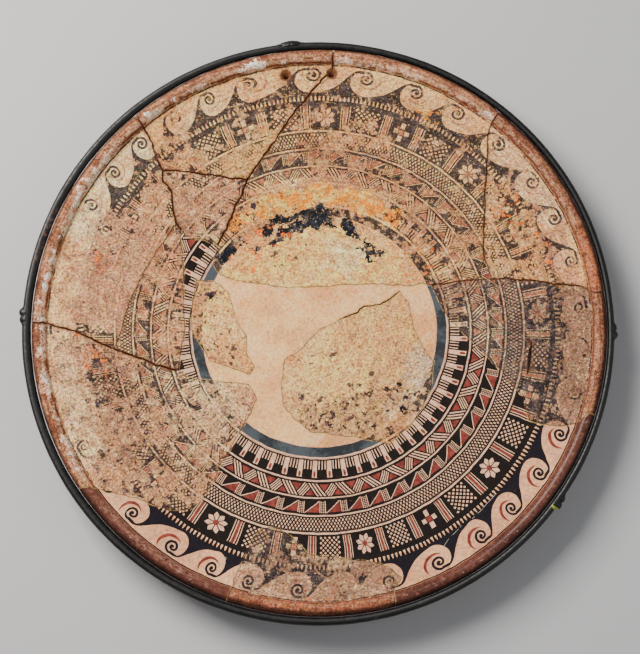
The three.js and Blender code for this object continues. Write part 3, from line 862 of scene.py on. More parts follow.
def running_waves(s, r, a, old):
    """The dark waves with their coils, and the red arc inside each, thinner on the old paint."""
    pitch, back = 43.0, 29.0
    u = s.fract(evened(s, a, wave_places) / 10.0 + 40.0 + back / pitch) * pitch - back
    v = r - wave_middle
    bank = [(-29, 0.8), (-27.8, -0.6), (-23.9, -5.1), (-20.1, -8.9), (-15.4, -12), (-10, -14.3), (-4, -15.8),
            (-1, -16.4), (0.1, 7.3), (4.4, 7.3), (8.3, 6.2), (12.1, 3.1), (14, 0.8)]
    bank = [((along + back) / pitch, (rise + 20) / 40) for along, rise in bank]
    bank = s.curve((u + back) / pitch, bank, "AUTO_CLAMPED") * 40.0 - 20.0
    cu, cv = u - 0.3, v + 4.6
    lobe = (cu * cu + cv * cv < 11.8 ** 2) & (v < 4.7)
    wave = (v < bank) & ~lobe
    radius = s.length(u, v)
    swing = s.fract(s.turns(u, v) + 1.75)
    turns = (6.5 - radius) / 3.9 - swing
    coil = (abs(s.fract(turns + 10.5) - 0.5) * 3.9 < 1.12) & (turns > -0.5) & (turns + swing < 1.72)
    coil = (coil & ((radius < 7.6) & ((swing < 0.75) | (radius < 5.2)))) | (radius < 1.25)
    wave = (wave | coil) & s.between(r, wave_foot, wave_top)
    cu, cv = u + 2.2, v - 1.8
    bow = (s.fract(s.turns(cu, cv) + 1.0) - 0.633) / 0.235
    width = (1.45 - old * 0.9) * (1.0 - bow * bow)
    arc = abs(s.length(cu, cv) - 10.5) < width
    return wave, arc & s.between(r, wave_foot, wave_top - 0.4) & ~wave


def painting_group():
    """The painted bands: how much dark and red paint covers a point of the face, by polar place."""
    tree = bpy.data.node_groups.new("plate_painting", "ShaderNodeTree")
    for name in ("Dark", "Red", "Radius", "Angle"):
        tree.interface.new_socket(name, in_out="OUTPUT", socket_type="NodeSocketFloat")
    tree.interface.new_socket("Old", in_out="INPUT", socket_type="NodeSocketFloat")
    s = Sheet(tree)
    old = Value(s, tree.nodes.new("NodeGroupInput").outputs["Old"])
    place = s.place()
    wobble = s.split(s.noise(place, 85, 1.0, 0.5, True))
    x, y, _ = s.split(place)
    x = x * 1000.0 + (wobble[0] - 0.5) * 1.5
    y = y * 1000.0 + (wobble[1] - 0.5) * 1.5
    r = s.length(x, y)
    a = s.fract(s.turns(x, y) + 1.0) * 360.0

    # Black ground of the inner bands, with its pale lines
    dark = s.between(r, 111.7, tooth_foot) & ~s.between(r, 120.9, 123.0)
    for centre, half in ((193.4, 0.85), (176.6, 0.75), (159.8, 0.66), (143.6, 0.8)):
        dark = dark & ~(abs(r - centre) < half)
    drawn = [mark for band in (fringe, zigzag, triangles, lattice_band, frieze) for mark in band(s, r, a)]
    pale = any_of(place & cream for place, cream, _ in drawn)
    red = any_of(place & painted for place, _, painted in drawn if painted is not None)
    dark = dark & ~pale & ~red

    # Teeth, then the running waves with their red arcs
    v = (r - tooth_foot) / tooth_height
    tooth = abs(s.fract(a * (350 / 360)) - 0.5) < 0.25 * (1.0 - v * v * 0.9)
    dark = dark | (s.between(r, 222.4, 229.6) & ~(s.between(v, 0.0, 1.0) & tooth))
    wave, arc = running_waves(s, r, a, old)
    dark = dark | wave | s.between(r, 255.2, 256.4)
    red = red | arc

    out = tree.nodes.new("NodeGroupOutput")
    for name, value in (("Dark", dark), ("Red", red & ~dark), ("Radius", r), ("Angle", a)):
        s.put(out.inputs[name], value)
    return tree


painting = painting_group()


def new_material(name):
    material = bpy.data.materials.new(name)
    material.use_nodes = True
    material.node_tree.nodes.clear()
    return material, Sheet(material.node_tree)


def finish_material(s, colour, rough, specular=0.5, height=None, distance=0.0, strength=1.0):
    inputs = [("Base Color", colour), ("Roughness", rough), ("Specular IOR Level", specular)]
    if height is not None:
        bump = s.add("Bump", (("Strength", strength), ("Distance", distance), ("Height", height)))
        inputs.append(("Normal", bump))
    shader = s.add("BsdfPrincipled", inputs)
    s.put(s.tree.nodes.new("ShaderNodeOutputMaterial").inputs[0], shader)


def painted_place(s, old):
    """The painting's outputs at this point: dark, red, radius and angle."""
    group = s.add("Group", [("Old", old)], node_tree=painting).socket.node
    return [Value(s, socket) for socket in group.outputs]


def stain_edge(s, here, colour, lip_width):
    """Brown stain along the cracks, ragged and broken, darkest at their lips."""
    stain = s.attribute("joint_stain")
    ragged = s.attribute("joint_distance") + (s.noise(here, 300, 3.0, 0.7) - 0.5) * 2.6
    uneven = s.ramp(s.noise(s.shift(here, (5, 0, 2)), 60, 3.0, 0.6), 0.42, 0.6, 0.2, 1.0)
    wide = s.ramp(ragged, 0.8, 5.0, 0.4, 0.0) & uneven
    lip = s.ramp(ragged, 0.6, lip_width, 0.8, 0.0) & uneven
    core = s.ramp(ragged, 0.2, 0.9, 0.95, 0.0)
    for mask, brown in ((wide, (110, 70, 48)), (lip, (116, 68, 44)), (core, (38, 22, 16))):
        colour = s.mix(mask & stain, colour, brown)
    return colour


def painted_fill(name):
    """Crisp repainted decoration on smooth plaster."""
    material, s = new_material(name)
    dark, red, r, a = painted_place(s, 0.0)
    here = s.place()
    broad = s.noise(here, 16, 3.0, 0.6)
    fine = s.noise(here, 190, 4.0, 0.7)
    grain = s.noise(s.shift(here, (1, 2, 0)), 480, 3.0, 0.7)
    smudge = s.noise(s.shift(here, (2, 0, 1)), 34, 4.0, 0.75)
    blotch = s.noise(s.shift(here, (3, 3, 0)), 60, 4.0, 0.7)

    cream = s.coats((240, 182, 138), ((218, 156, 116), broad, 0.35, 0.7),
                    ((206, 140, 98), fine, 0.45, 0.75, 0.5))
    cream = s.mix(s.between(r, 121.0, 224.0) & 0.7, cream, (232, 190, 160))
    cream = s.coat(cream, (206, 152, 124), blotch, 0.5, 0.62, 0.5)
    floor = s.coats((255, 192, 126), ((234, 162, 102), broad + (smudge - 0.5) * 0.6, 0.4, 0.6),
                    ((255, 214, 160), smudge, 0.48, 0.58, 0.5), ((196, 142, 102), smudge, 0.47, 0.38, 0.45),
                    ((140, 108, 86), grain, 0.6, 0.68, 0.4))
    colour = s.grit(s.mix(r < 111.0, cream, floor), here, 380, 0.9, 0.22)

    cover = s.ramp(fine, 0.68, 0.8, 0.985, 0.6)
    colour = s.mix(red & cover, colour, s.coat((144, 62, 52), (108, 42, 38), fine, 0.4, 0.6))
    black = s.mix(r > 226.8, (1, 4, 9), (1, 11, 26))
    black = s.mix(r < 121.5, black, s.coat((34, 44, 50), (70, 80, 86), smudge, 0.42, 0.58))
    colour = s.mix(dark & cover, colour, black)

    # Fine white scratches
    x, y, _ = s.split(here)
    bent = s.noise(s.shift(here, (7, 7, 0)), 55, 2.0, 0.5)
    streak = abs(s.fract((x * 0.62 + y * 0.78) * 42 + bent * 3.2) - 0.5) < 0.016
    streak = streak & s.ramp(s.noise(s.shift(here, (4, 9, 0)), 26, 2.0, 0.5), 0.63, 0.66)
    streak = streak & (r > 200.0)
    long_scratches = ((308.2, 316.6, 228.6, 226.4), (302, 305.2, 230.8, 228.0), (298.6, 301, 236, 231.6))
    for a0, a1, r0, r1 in long_scratches:
        path = r0 + (a - a0) * ((r1 - r0) / (a1 - a0))
        streak = streak | ((abs(r - path) < 0.2) & (a > a0) & (a < a1) & (fine > 0.44))
    colour = s.mix(streak & 0.6, colour, (226, 214, 204))

    # Glossy brown rim with pale chips along its crest. Its outer side is painted darker as painted shade, and
    # a paler patch on its crest at the lower left is a painted sheen.
    brown = s.coats((104, 62, 52), ((78, 45, 38), broad, 0.35, 0.7), ((146, 98, 78), fine, 0.5, 0.7, 0.55),
                    ((34, 20, 17), r, 263.5, 268.5, 0.85))
    brown = s.grit(brown, here, 380, 1.2, 0.25)
    chipped = s.noise(s.join(r * 0.0022, a * 0.0034), 240, 5.0, 0.85)
    # A paler patch on the crest at the lower left: painted sheen, broken by the chips
    worn = s.ramp(abs(a - 232.0), 8.0, 18.0, 0.75, 0.0) & s.ramp(abs(r - rim_crest), 1.5, 4.5, 1.0, 0.0)
    brown = s.mix(worn & s.ramp(chipped, 0.45, 0.55) & 0.6, brown, (190, 140, 118))
    fleck = s.ramp(chipped, 0.61, 0.635) & s.ramp(abs(r - 263.0), 1.0, 3.6, 1.0, 0.0)
    brown = s.mix(fleck & 0.9, brown, (232, 206, 186))
    rim = s.ramp(r, rim_foot, rim_foot + 0.7)
    colour = stain_edge(s, here, s.mix(rim, colour, brown), 0.9)

    # Yellowish adhesive shows along the joints.
    glue = s.ramp(s.attribute("joint_distance"), 0.5, 1.6, 0.6, 0.0) & s.ramp(fine, 0.42, 0.55)
    colour = s.mix(glue, colour, (206, 168, 106))
    rough = s.ramp(rim, 0.0, 1.0, s.ramp(fine, 0.3, 0.7, 0.7, 0.85), 0.2, "LINEAR")
    finish_material(s, colour, rough, 0.12, fine * 0.5 + grain * 0.3 - fleck * 0.6, 0.0005, 0.5)
    return material


# Patches on the sherds. Washes lie under the painting, deposits over it, from a bar of strength up.
washes = {
    "yellow": ((255, 212, 118), (232, 160, 84)),
    "red": ((182, 84, 56), (164, 84, 62)),
    "grey": ((196, 172, 154), (138, 124, 116)),
    "pale": ((255, 220, 168), (244, 196, 140)),
    "pink": ((212, 150, 116), (184, 122, 92)),
    "umber": ((160, 116, 90), (118, 84, 68)),
}
deposits = {
    "orange": ((248, 140, 34), (255, 198, 104), 0.5),
    "dark": ((24, 27, 34), (50, 52, 58), 0.62),
    "flint": ((26, 26, 36), (80, 56, 60), 1.12),
    "fleck": ((236, 112, 34), (206, 104, 56), 1.24),
    "purple": ((50, 38, 48), (84, 62, 62), 1.26),
}
# Rim patches: an orange-red tone, and pale patches that are a painted highlight on the rim's upper and left
# side
rim_patches = {
    "glow": ((206, 118, 72), (150, 66, 44)),
    "chalk": ((255, 230, 208), (232, 180, 148)),
}
chip_colours = {"orange": (84, 58, 46), "dark": (206, 162, 118)}
# Bare ground of the sherds: pale, middle and deep
grounds = [
    ((255, 194, 126), (232, 160, 98), (168, 108, 66)),
    ((255, 196, 136), (228, 158, 106), (156, 102, 68)),
    ((250, 190, 136), (212, 150, 104), (132, 90, 64)),
    # The darkest ground, for the right and bottom sherds, is partly their own colour and partly painted shade
    # where the light falls off
    ((206, 156, 118), (166, 120, 90), (104, 76, 60)),
]


def painted_sherd(name, wear=0.5, grime=0.5, ground=0, spots=(), rim_shade=(265, 269.8), rim_red=0.2):
    """Old paint on fired clay: flaked off in spots, with speckle, deposits and stains."""
    material, s = new_material(name)
    dark, red, r, a = painted_place(s, 1.0)
    seed = sum(map(ord, name)) * 0.013
    here = s.shift(s.place(), (seed, -seed, 0))
    broad = s.noise(here, 15, 4.0, 0.6)
    stains = s.noise(here, 46, 6.0, 0.68, distort=0.5)
    flake = s.noise(s.shift(here, (1, 1, 0)), 110, 5.0, 0.64)
    grain = s.noise(s.shift(here, (2, 3, 0)), 400, 4.0, 0.75)
    crust = s.noise(s.shift(here, (3, 1, 0)), 96, 6.0, 0.78)
    # Fine brush and wheel marks run round the plate.
    x, y, _ = s.split(s.place())
    streak = s.noise(s.join(x * (9000.0 / r), y * (9000.0 / r), r * 0.42), 1.0, 4.0, 0.7)
    swirl = s.split(s.noise(s.shift(here, (4, 1, 0)), 40, 5.0, 0.7, True))
    bent_r = r + (swirl[0] - 0.5) * 60.0
    bent_a = a + (swirl[1] - 0.5) * (6000.0 / r)

    def patches(kinds):
        """Each spot of these kinds, with how strongly a point lies in it: about 0 outside and 1 inside."""
        for kind, r0, r1, a0, a1, amount, size in spots:
            if kind not in kinds:
                continue
            half, span = (r1 - r0) / 2, a1 - a0
            radial = s.ramp(abs(bent_r - (r0 + r1) / 2), half * 0.75, half + 2.5, 1.0, 0.0)
            off = abs(s.fract((bent_a - (a0 + a1) / 2) / 360 + 0.5) - 0.5) * 360.0
            sector = s.ramp(off, span * 0.36, span * 0.54, 1.0, 0.0)
            texture = s.noise(s.shift(here, (r0 * 0.1, a0 * 0.1, 0)), size, 5.0, 0.66)
            yield kind, (radial & sector) * 1.4 - 0.4 + (texture - 0.5) * 3.0, amount

    pale, mid, deep = grounds[ground]
    colour = s.coats(pale, (mid, broad + (stains - 0.5) * 0.6, 0.4, 0.6),
                     (deep, stains + (flake - 0.5) * 0.5, 0.56, 0.68, 0.7), (deep, streak, 0.52, 0.62, 0.35),
                     (pale, streak, 0.46, 0.38, 0.35), ((255, 212, 158), flake, 0.56, 0.64, 0.5))
    for kind, place, amount in patches(washes):
        first, second = washes[kind]
        colour = s.coat(colour, s.coat(first, second, flake, 0.42, 0.6), place, 0.4, 1.1, amount)

    # The decoration: sharp where it has held, a brown ghost where it has flaked off
    loss = flake * 0.6 + broad * 0.55 + stains * 0.35
    for kind, place, amount in patches(("worn", "kept")):
        shift = s.ramp(place, 0.2, 0.9, 0.0, amount)
        loss = loss + shift if kind == "worn" else loss - shift
    limit = 0.93 - 0.36 * wear
    cover = s.ramp(loss + (grain - 0.5) * 0.12, limit - 0.014, limit + 0.014, 1.0, 0.0)
    sound = s.ramp(cover, 0.0, 1.0, 0.16 + 0.34 * (1 - wear), 0.95, "LINEAR")
    colour = s.mix(red & sound & 0.85, colour, s.mix(stains, (172, 96, 68), (140, 72, 52)))
    black = s.coat((16, 20, 28), (58, 56, 62), grain + (flake - 0.5), 0.45, 0.6)
    colour = s.mix(dark & sound, colour, s.mix(cover, (106, 74, 60), black))

    # Speckle: dark grains, pale grains and brown crust
    crusted = s.coat((76, 64, 66), (104, 74, 58), flake, 0.45, 0.55)
    colour = s.coats(colour, ((70, 50, 44), grain, 0.585, 0.63, 0.35 + 0.5 * grime),
                     ((255, 218, 172), grain, 0.40, 0.35, 0.5),
                     (crusted, crust, 0.565 - 0.02 * grime, 0.59, 0.3 + 0.5 * grime),
                     (pale, crust, 0.44, 0.39, 0.6))
    for kind, place, amount in patches(deposits):
        first, second, bar = deposits[kind]
        edge = s.ramp(place, bar, bar + 0.09, 0.0, amount)
        colour = s.mix(edge, colour, s.coat(first, second, flake, 0.47, 0.57))
        if kind in chip_colours:
            chips = s.ramp(grain + (flake - 0.5) * 0.7, 0.6, 0.65, 0.0, 0.85) & edge
            colour = s.mix(chips, colour, chip_colours[kind])

    # Worn rim: brown streaks run round it on pale clay, and its outer side is painted dark as painted shade.
    flesh = s.coat((210, 150, 110), (128, 76, 54), streak + (stains - 0.5) * 0.4, 0.42, 0.58)
    # A painted highlight along the bead's crest, broken by flakes
    crest = s.ramp(abs(r - rim_crest), 0.8, 2.6, 0.6, 0.0) & s.ramp(flake, 0.42, 0.5)
    flesh = s.mix(crest, flesh, (250, 200, 158))
    flesh = s.mix(rim_red, flesh, s.coat((148, 84, 60), (96, 52, 38), streak, 0.44, 0.56))
    flesh = s.coat(flesh, (112, 64, 46), stains + (flake - 0.5) * 0.6, 0.55, 0.62, 0.6)
    # A dark line where the bead rises from the face: painted shade in that crease
    flesh = s.mix(s.ramp(abs(r - 257.3), 0.2, 1.3, 0.75, 0.0), flesh, (112, 58, 42))
    # Orange-red tone, and pale patches of painted highlight on the rim
    for kind, place, amount in patches(rim_patches):
        first, second = rim_patches[kind]
        flesh = s.coat(flesh, s.coat(first, second, flake, 0.45, 0.55), place, 0.4, 1.0, amount)
    # Dark and pale grains, then painted shade darkening the bead's outer side
    flesh = s.coats(flesh, ((84, 52, 40), grain, 0.6, 0.66, 0.6), ((244, 214, 188), grain, 0.39, 0.34, 0.5),
                    ((54, 31, 25), r, *rim_shade, 0.88))
    colour = s.coat(colour, flesh, r, 256.0, 257.2)

    colour = s.grit(colour, here, 520, 1.6 + 0.9 * grime, 0.45)
    colour = s.mix(1.0, colour, (streak - 0.5) * 2.0 + (crust - 0.5) * 1.6 + 1.0, "MULTIPLY")
    colour = stain_edge(s, here, colour, 1.9)
    height = grain * 0.5 + flake * 0.9 + crust * 0.5 + (dark & cover) * 0.12
    finish_material(s, colour, s.ramp(grain, 0.35, 0.65, 0.6, 0.9), 0.12, height, 0.0013, 0.9)
    return material


def bare(name, light, deep, rough):
    """Unpainted clay or plaster: dark broken faces, and the underside with its wheel marks."""
    material, s = new_material(name)
    place = s.place()
    x, y, _ = s.split(place)
    broad = s.noise(place, 18, 4.0, 0.65)
    grain = s.noise(place, 420, 4.0, 0.7)
    ridges = s.math("SINE", s.length(x, y) * (2 * math.pi / 0.0031) + broad * 5.0)
    colour = s.coat(light, deep, broad, 0.3, 0.7)
    colour = s.coat(colour, (*(v * 0.5 for v in lin(deep)), 1), grain, 0.52, 0.7, 0.55)
    colour = s.mix(s.ramp(s.cells(place, 300), 0.12, 0.2, 0.35, 0.0), colour, (226, 196, 156))
    broken = s.ramp(s.attribute("joint_distance"), 0.5, 6.0, 0.7, 0.0)
    colour = s.mix(broken, colour, (88, 54, 35))
    rough = s.ramp(grain, 0.3, 0.7, rough - 0.08, rough + 0.08)
    finish_material(s, colour, rough, 0.25, grain * 0.5 + ridges * 0.16 + broad, 0.0007, 0.7)
    return material


clay = bare("bare_clay", (184, 116, 74), (152, 90, 56), 0.85)
plaster = bare("bare_plaster", (208, 160, 112), (184, 136, 92), 0.75)

# Each patch: its kind, radii, angles in degrees, amount, and how fine its edge is.
looks = {
    "sherd_top": dict(wear=0.36, grime=0.45, ground=0, spots=[
        ("yellow", 0, 112, 0, 180, 0.8, 60), ("pale", 56, 96, 56, 88, 0.6, 50),
        ("pink", 192, 256, 40, 100, 0.35, 40), ("pink", 120, 190, 20, 100, 0.4, 40),
        ("red", 176, 188, 88, 100, 0.5, 70), ("worn", 118, 150, 52, 130, 0.2, 60),
        ("orange", 121, 141, 48, 132, 0.9, 90), ("dark", 98, 113, 82, 125, 1.0, 90),
        ("dark", 114.5, 119.5, 84, 118, 1.0, 120), ("dark", 97, 112, 66, 78, 1.0, 100),
        ("dark", 85, 100, 50, 67, 1.0, 100), ("dark", 112, 122, 128, 150, 1.0, 120),
        ("flint", 122, 142, 110, 133, 1.0, 90), ("flint", 116, 140, 40, 66, 0.9, 110),
        ("purple", 70, 92, 102, 134, 0.9, 120), ("fleck", 72, 120, 106, 150, 0.9, 120),
        ("fleck", 96, 142, 12, 44, 0.9, 110), ("orange", 228, 240, 61, 66, 0.6, 120),
        ("chalk", 245, 259, 66, 98, 0.85, 90), ("chalk", 245, 258, 14, 66, 0.45, 90)]),
    "sherd_top_left": dict(wear=0.38, grime=0.5, ground=0, spots=[
        ("worn", 192, 222, 100, 128, 0.05, 60), ("yellow", 150, 198, 100, 124, 0.4, 60),
        ("pale", 196, 250, 104, 126, 0.35, 60), ("worn", 150, 196, 100, 124, 0.08, 60),
        ("chalk", 244, 259, 94, 138, 1.0, 90)]),
    "sherd_upper_left_inner": dict(wear=0.46, grime=0.75, ground=2),
    "sherd_left_rim": dict(wear=0.5, grime=0.5, ground=1, spots=[
        ("pale", 224, 262, 128, 162, 0.8, 60), ("red", 198, 224, 158, 166, 0.6, 80),
        ("pink", 170, 236, 146, 182, 0.7, 60), ("kept", 218, 262, 128, 152, 0.1, 80),
        ("worn", 140, 268, 150, 182, 0.12, 60), ("fleck", 200, 232, 154, 168, 0.7, 130),
        ("chalk", 244, 261, 134, 188, 1.0, 90)]),
    "sherd_left_inner": dict(wear=0.34, grime=0.6, ground=1),
    "sherd_left_centre": dict(wear=0.5, grime=0.5, ground=0, spots=[
        ("yellow", 60, 112, 140, 180, 0.6, 45), ("flint", 98, 118, 150, 186, 1.0, 90),
        ("flint", 84, 112, 182, 194, 0.9, 110), ("purple", 74, 112, 146, 196, 0.9, 110)]),
    "sherd_lower_left": dict(wear=0.47, grime=0.9, ground=2, spots=[
        ("pale", 230, 258, 184, 212, 0.6, 65), ("pale", 90, 140, 196, 214, 0.6, 60),
        ("pink", 206, 252, 181, 196, 0.4, 60), ("kept", 194, 224, 184, 200, 0.08, 80),
        ("worn", 214, 268, 176, 206, 0.12, 60), ("purple", 140, 222, 186, 222, 0.7, 150),
        ("pale", 96, 170, 186, 232, 0.5, 110), ("umber", 180, 222, 186, 226, 0.35, 90),
        ("fleck", 192, 236, 180, 194, 0.95, 100), ("fleck", 168, 178, 209, 215, 0.9, 90),
        ("chalk", 246, 260, 178, 214, 0.75, 90)]),
    "sherd_bottom": dict(wear=0.36, grime=0.6, ground=3, rim_shade=(263, 266.5), rim_red=0.75, spots=[
        ("pale", 196, 222, 258, 280, 0.5, 70), ("glow", 256, 272, 250, 286, 0.35, 90),
        ("fleck", 244, 256, 264, 276, 0.7, 100)]),
    "sherd_centre": dict(wear=0.5, grime=0.5, ground=0, spots=[
        ("yellow", 0, 112, 240, 420, 0.5, 40), ("pink", 10, 112, 310, 394, 0.3, 50),
        ("pale", 92, 120, 300, 360, 0.6, 80), ("grey", 84, 122, 328, 350, 0.5, 60),
        ("flint", 82, 118, 304, 332, 1.0, 110), ("purple", 12, 84, 238, 330, 0.9, 110),
        ("flint", 62, 108, 252, 322, 0.95, 170), ("umber", 66, 114, 250, 330, 0.55, 110),
        ("purple", 56, 114, 246, 300, 0.9, 90), ("purple", 70, 112, 300, 334, 0.9, 130)]),
    "sherd_right": dict(wear=0.24, grime=0.8, ground=3, rim_shade=(263.5, 267.5), rim_red=0.6, spots=[
        ("pale", 244, 256, 348, 356, 0.2, 65), ("grey", 116, 194, 342, 366, 0.4, 60),
        ("pale", 114, 176, 338, 372, 0.6, 110), ("dark", 170, 228, 340, 368, 0.2, 200),
        ("umber", 224, 258, 338, 370, 0.6, 90), ("worn", 226, 256, 340, 372, 0.05, 60),
        ("fleck", 206, 214, 3, 6, 0.9, 90)]),
    "sherd_upper_right": dict(wear=0.44, grime=0.5, ground=0, rim_shade=(264, 268), rim_red=0.5, spots=[
        ("pink", 228, 258, 4, 56, 0.8, 45), ("pale", 150, 190, 8, 20, 0.6, 60),
        ("pale", 230, 258, 22, 50, 0.4, 70), ("glow", 256, 270, 6, 24, 0.5, 90),
        ("fleck", 190, 240, 12, 40, 0.95, 110), ("purple", 186, 236, 10, 40, 0.8, 120)]),
}

for name, piece in pieces.items():
    if name.startswith("fill"):
        piece.data.materials.append(painted_fill(name + "_paint"))
        piece.data.materials.append(plaster)
    else:
        piece.data.materials.append(painted_sherd(name + "_paint", **looks[name]))
        piece.data.materials.append(clay)
    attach(piece, "root")
    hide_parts(name)


# Hoop and its lumps

bar_radius = 3.3
bar_clearance = 0.32
hoop_offset = 1.2
hoop_radius = plate_radius + glue_gap + hoop_offset + bar_radius
hoop_height = widest - 0.8


def blackened(name):
    material, s = new_material(name)
    place = s.place()
    broad = s.noise(place, 30, 3.0, 0.6)
    grain = s.noise(place, 260, 4.0, 0.7)
    rubbed = s.noise(s.shift(place, (2, 5, 1)), 75, 6.0, 0.75)
    colour = s.coat((8, 8, 9), (20, 19, 19), broad, 0.3, 0.7)
    colour = s.coat(colour, (70, 60, 54), rubbed, 0.6, 0.68, 0.6)
    x, y, _ = s.split(place)
    turn = s.fract(s.turns(x, y) + 1.0) * 360.0
    rust = s.ramp(abs(turn - 162.0), 4.0, 8.0, 1.0, 0.0) & s.ramp(grain, 0.52, 0.6)
    colour = s.mix(rust & 0.5, colour, (120, 72, 56))
    # A fleck of yellow-green paint beside the lower right lump
    fleck = (abs(turn + (grain - 0.5) * 1.2 - 321.8) < 0.32) & (s.length(x, y) > 0.2722)
    colour = s.mix(fleck, colour, (150, 156, 44))
    finish_material(s, colour, s.ramp(grain, 0.3, 0.7, 0.34, 0.56), 0.4, grain * 0.4 + broad, 0.0006, 0.6)
    return material


steel = blackened("blackened_bar")


def make_bar():
    around, section = 720, 20
    t = np.arange(around) / around * 2 * math.pi
    u = np.arange(section) / section * 2 * math.pi
    tt, uu = np.meshgrid(t, u, indexing="ij")
    x, y = hoop_radius * np.cos(tt), hoop_radius * np.sin(tt)
    uneven = 0.16 * fbm(x, y, 26, 61, 2) + 0.08 * noise2(x + 40 * np.cos(uu), y + 40 * np.sin(uu), 8, 62)
    tube = bar_radius - 0.12 + uneven
    # Towards the rim the bar keeps its clearance.
    inside = np.cos(uu) < 0
    tube = np.where(inside, np.minimum(tube, bar_radius), tube)
    room = (hoop_radius - hoop_offset * np.cos(tt) - plate_radius - bar_clearance) / bar_radius
    ring_r = hoop_radius + tube * np.cos(uu) * np.where(inside, np.maximum(room, 1.0), 1.0)
    coords = (ring_r * np.cos(tt) - hoop_offset, ring_r * np.sin(tt), hoop_height + tube * np.sin(uu))
    a = np.arange(around * section).reshape(around, section)
    b = np.roll(a, -1, 0)
    quads = np.stack([a, b, np.roll(b, -1, 1), np.roll(a, -1, 1)], -1).reshape(-1, 4)
    mesh = make_mesh("hoop_form", np.stack(coords, -1).reshape(-1, 3), quads.tolist())
    mesh.update()
    return add_object("hoop_bar", mesh)


def make_lump(name, beads):
    """Hammered beads closed round the outer half of the bar, with a hair's gap to it."""
    around, across = 64, 30
    clear = bar_radius + glue_gap
    mid = sum(bead[0] for bead in beads) / len(beads)
    places = [(math.radians(angle - mid) * hoop_radius, length / 2, bar_radius + proud, height / 2)
              for angle, length, proud, height in beads]
    reach = max(abs(at) + half for at, half, _, _ in places)

    def bulge(along, u):
        """How far the skin lies from the bar's middle: the proudest bead wins, with small dents."""
        best = 0.0
        for at, half, wide, high in places:
            share = 1 - ((along - at) / half) ** 2
            if share > 0:
                rr, rz = wide * math.sqrt(share), high * math.sqrt(share)
                best = max(best, 1 / math.sqrt((math.cos(u) / rr) ** 2 + (math.sin(u) / rz) ** 2))
        dent = 0.22 * float(noise2(np.array(along + 50), np.array(u * 4 + beads[-1][0]), 2.4, 71))
        return max(best + min(dent, 0.1), clear + 0.02)

    def skin_points(distance):
        points = []
        for i in range(around + 1):
            along = -reach + 2 * reach * i / around
            t = math.radians(mid) + along / hoop_radius
            for j in range(across + 1):
                u = math.radians(-90 + 180 * j / across)
                d = distance(along, u)
                r = hoop_radius + 0.05 + d * math.cos(u)
                points.append((r * math.cos(t) - hoop_offset, r * math.sin(t), hoop_height + d * math.sin(u)))
        return points

    points = skin_points(bulge) + skin_points(lambda along, u: clear)
    grid = np.arange(len(points)).reshape(2, around + 1, across + 1)
    outer, inner = grid.tolist()
    faces = []
    for i in range(around):
        for j in range(across):
            faces.append((outer[i][j], outer[i + 1][j], outer[i + 1][j + 1], outer[i][j + 1]))
            faces.append((inner[i][j], inner[i][j + 1], inner[i + 1][j + 1], inner[i + 1][j]))
        faces.append((outer[i][0], inner[i][0], inner[i + 1][0], outer[i + 1][0]))
        faces.append((outer[i][-1], outer[i + 1][-1], inner[i + 1][-1], inner[i][-1]))
    for j in range(across):
        faces.append((outer[0][j], outer[0][j + 1], inner[0][j + 1], inner[0][j]))
        faces.append((outer[-1][j], inner[-1][j], inner[-1][j + 1], outer[-1][j + 1]))

    mesh = make_mesh(name + "_form", points, faces)
    bm = bmesh.new()
    bm.from_mesh(mesh)
    bmesh.ops.recalc_face_normals(bm, faces=bm.faces)
    bm.to_mesh(mesh)
    bm.free()
    mesh.set_sharp_from_angle(angle=math.radians(60))
    return add_object(name + "_lump", mesh)


# Each bead of a lump: its angle in degrees, and its length, how far it stands proud and its height.
# A lug is two beads side by side.
bead_pitch, bead_length, bead_height = 6.7, 10.4, 8.0
half_pitch = math.degrees(bead_pitch / 2 / hoop_radius)
lumps = {"hoop_joint_top": [(95.5, 26.0, 2.6, 9.2)]}
for name, angle in (("hoop_lug_left", 178), ("hoop_lug_right", 359), ("hoop_lug_lower_right", 323.5)):
    lumps[name] = [(angle - half_pitch, bead_length, 3.2, bead_height),
                   (angle + half_pitch, bead_length, 2.4, bead_height)]

hoop_pieces = {"hoop": make_bar()}
for name, beads in lumps.items():
    hoop_pieces[name] = make_lump(name, beads)
for name, piece in hoop_pieces.items():
    piece.data.materials.append(steel)
    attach(piece, "root")
    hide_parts(name)


# Floor, light and camera

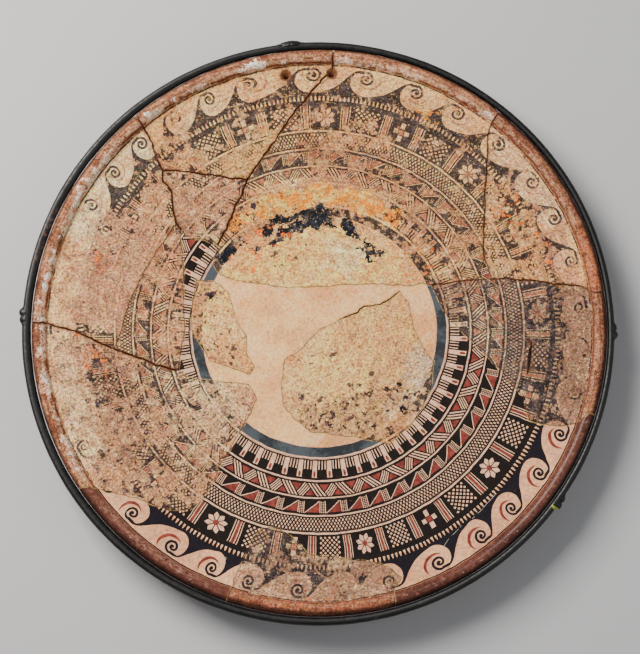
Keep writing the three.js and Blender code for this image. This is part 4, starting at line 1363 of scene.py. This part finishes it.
def make_floor():
    material, s = new_material("pale_floor")
    mottle = s.noise(s.place(), 3.0, 3.0, 0.5)
    finish_material(s, s.mix(mottle, (0.50, 0.50, 0.51, 1), (0.56, 0.56, 0.57, 1)), 0.9)
    half = 6.0
    mesh = bpy.data.meshes.new("floor_form")
    corners = [(-half, -half, 0), (half, -half, 0), (half, half, 0), (-half, half, 0)]
    mesh.from_pydata(corners, [], [(0, 1, 2, 3)])
    mesh.materials.append(material)
    floor = add_object("floor", mesh)


def add_area(name, place, target, size, power, colour=(1, 1, 1)):
    light = bpy.data.lights.new(name, "AREA")
    light.shape = "SQUARE"
    light.size = size
    light.energy = power
    light.color = colour
    ob = add_object(name, light)
    ob.location = place
    ob.rotation_euler = (Vector(target) - Vector(place)).to_track_quat("-Z", "Y").to_euler()


# The camera as fitted to the photo: its lens and the picture in pixels, the sensor in millimetres,
# the tilt in degrees, and places in metres
photo_height = 654
focal_length = 1918.7
sensor_width = 36
camera_tilt = 10.14
camera_distance = 1.8
camera_aside, camera_below = 0.00056, 0.00094
rim_centre_height = 0.044


def add_camera():
    camera = add_object("camera", bpy.data.cameras.new("camera"))
    rim_centre = Vector((0, 0, rim_centre_height))
    tilt = math.radians(camera_tilt)
    towards = Vector((0, -math.sin(tilt), math.cos(tilt)))
    up = Vector((0, math.cos(tilt), math.sin(tilt)))
    camera.data.lens = focal_length * sensor_width / photo_height
    aimed_at = rim_centre + Vector((camera_aside, 0, 0)) - up * camera_below
    camera.location = aimed_at + towards * camera_distance
    camera.rotation_euler = (-towards).to_track_quat("-Z", "Y").to_euler()
    scene.camera = camera


make_floor()
add_area("key", (-1.0, 0.85, 1.48), (0, 0, 0), 1.0, 70, (1, 0.96, 0.9))
add_area("fill", (1.3, -0.5, 1.3), (0, 0, 0), 1.4, 6)
world = bpy.data.worlds.new("studio")
world.use_nodes = True
world.node_tree.nodes["Background"].inputs[0].default_value = (0.9, 0.94, 1.0, 1)
world.node_tree.nodes["Background"].inputs[1].default_value = 0.24
scene.world = world
add_camera()
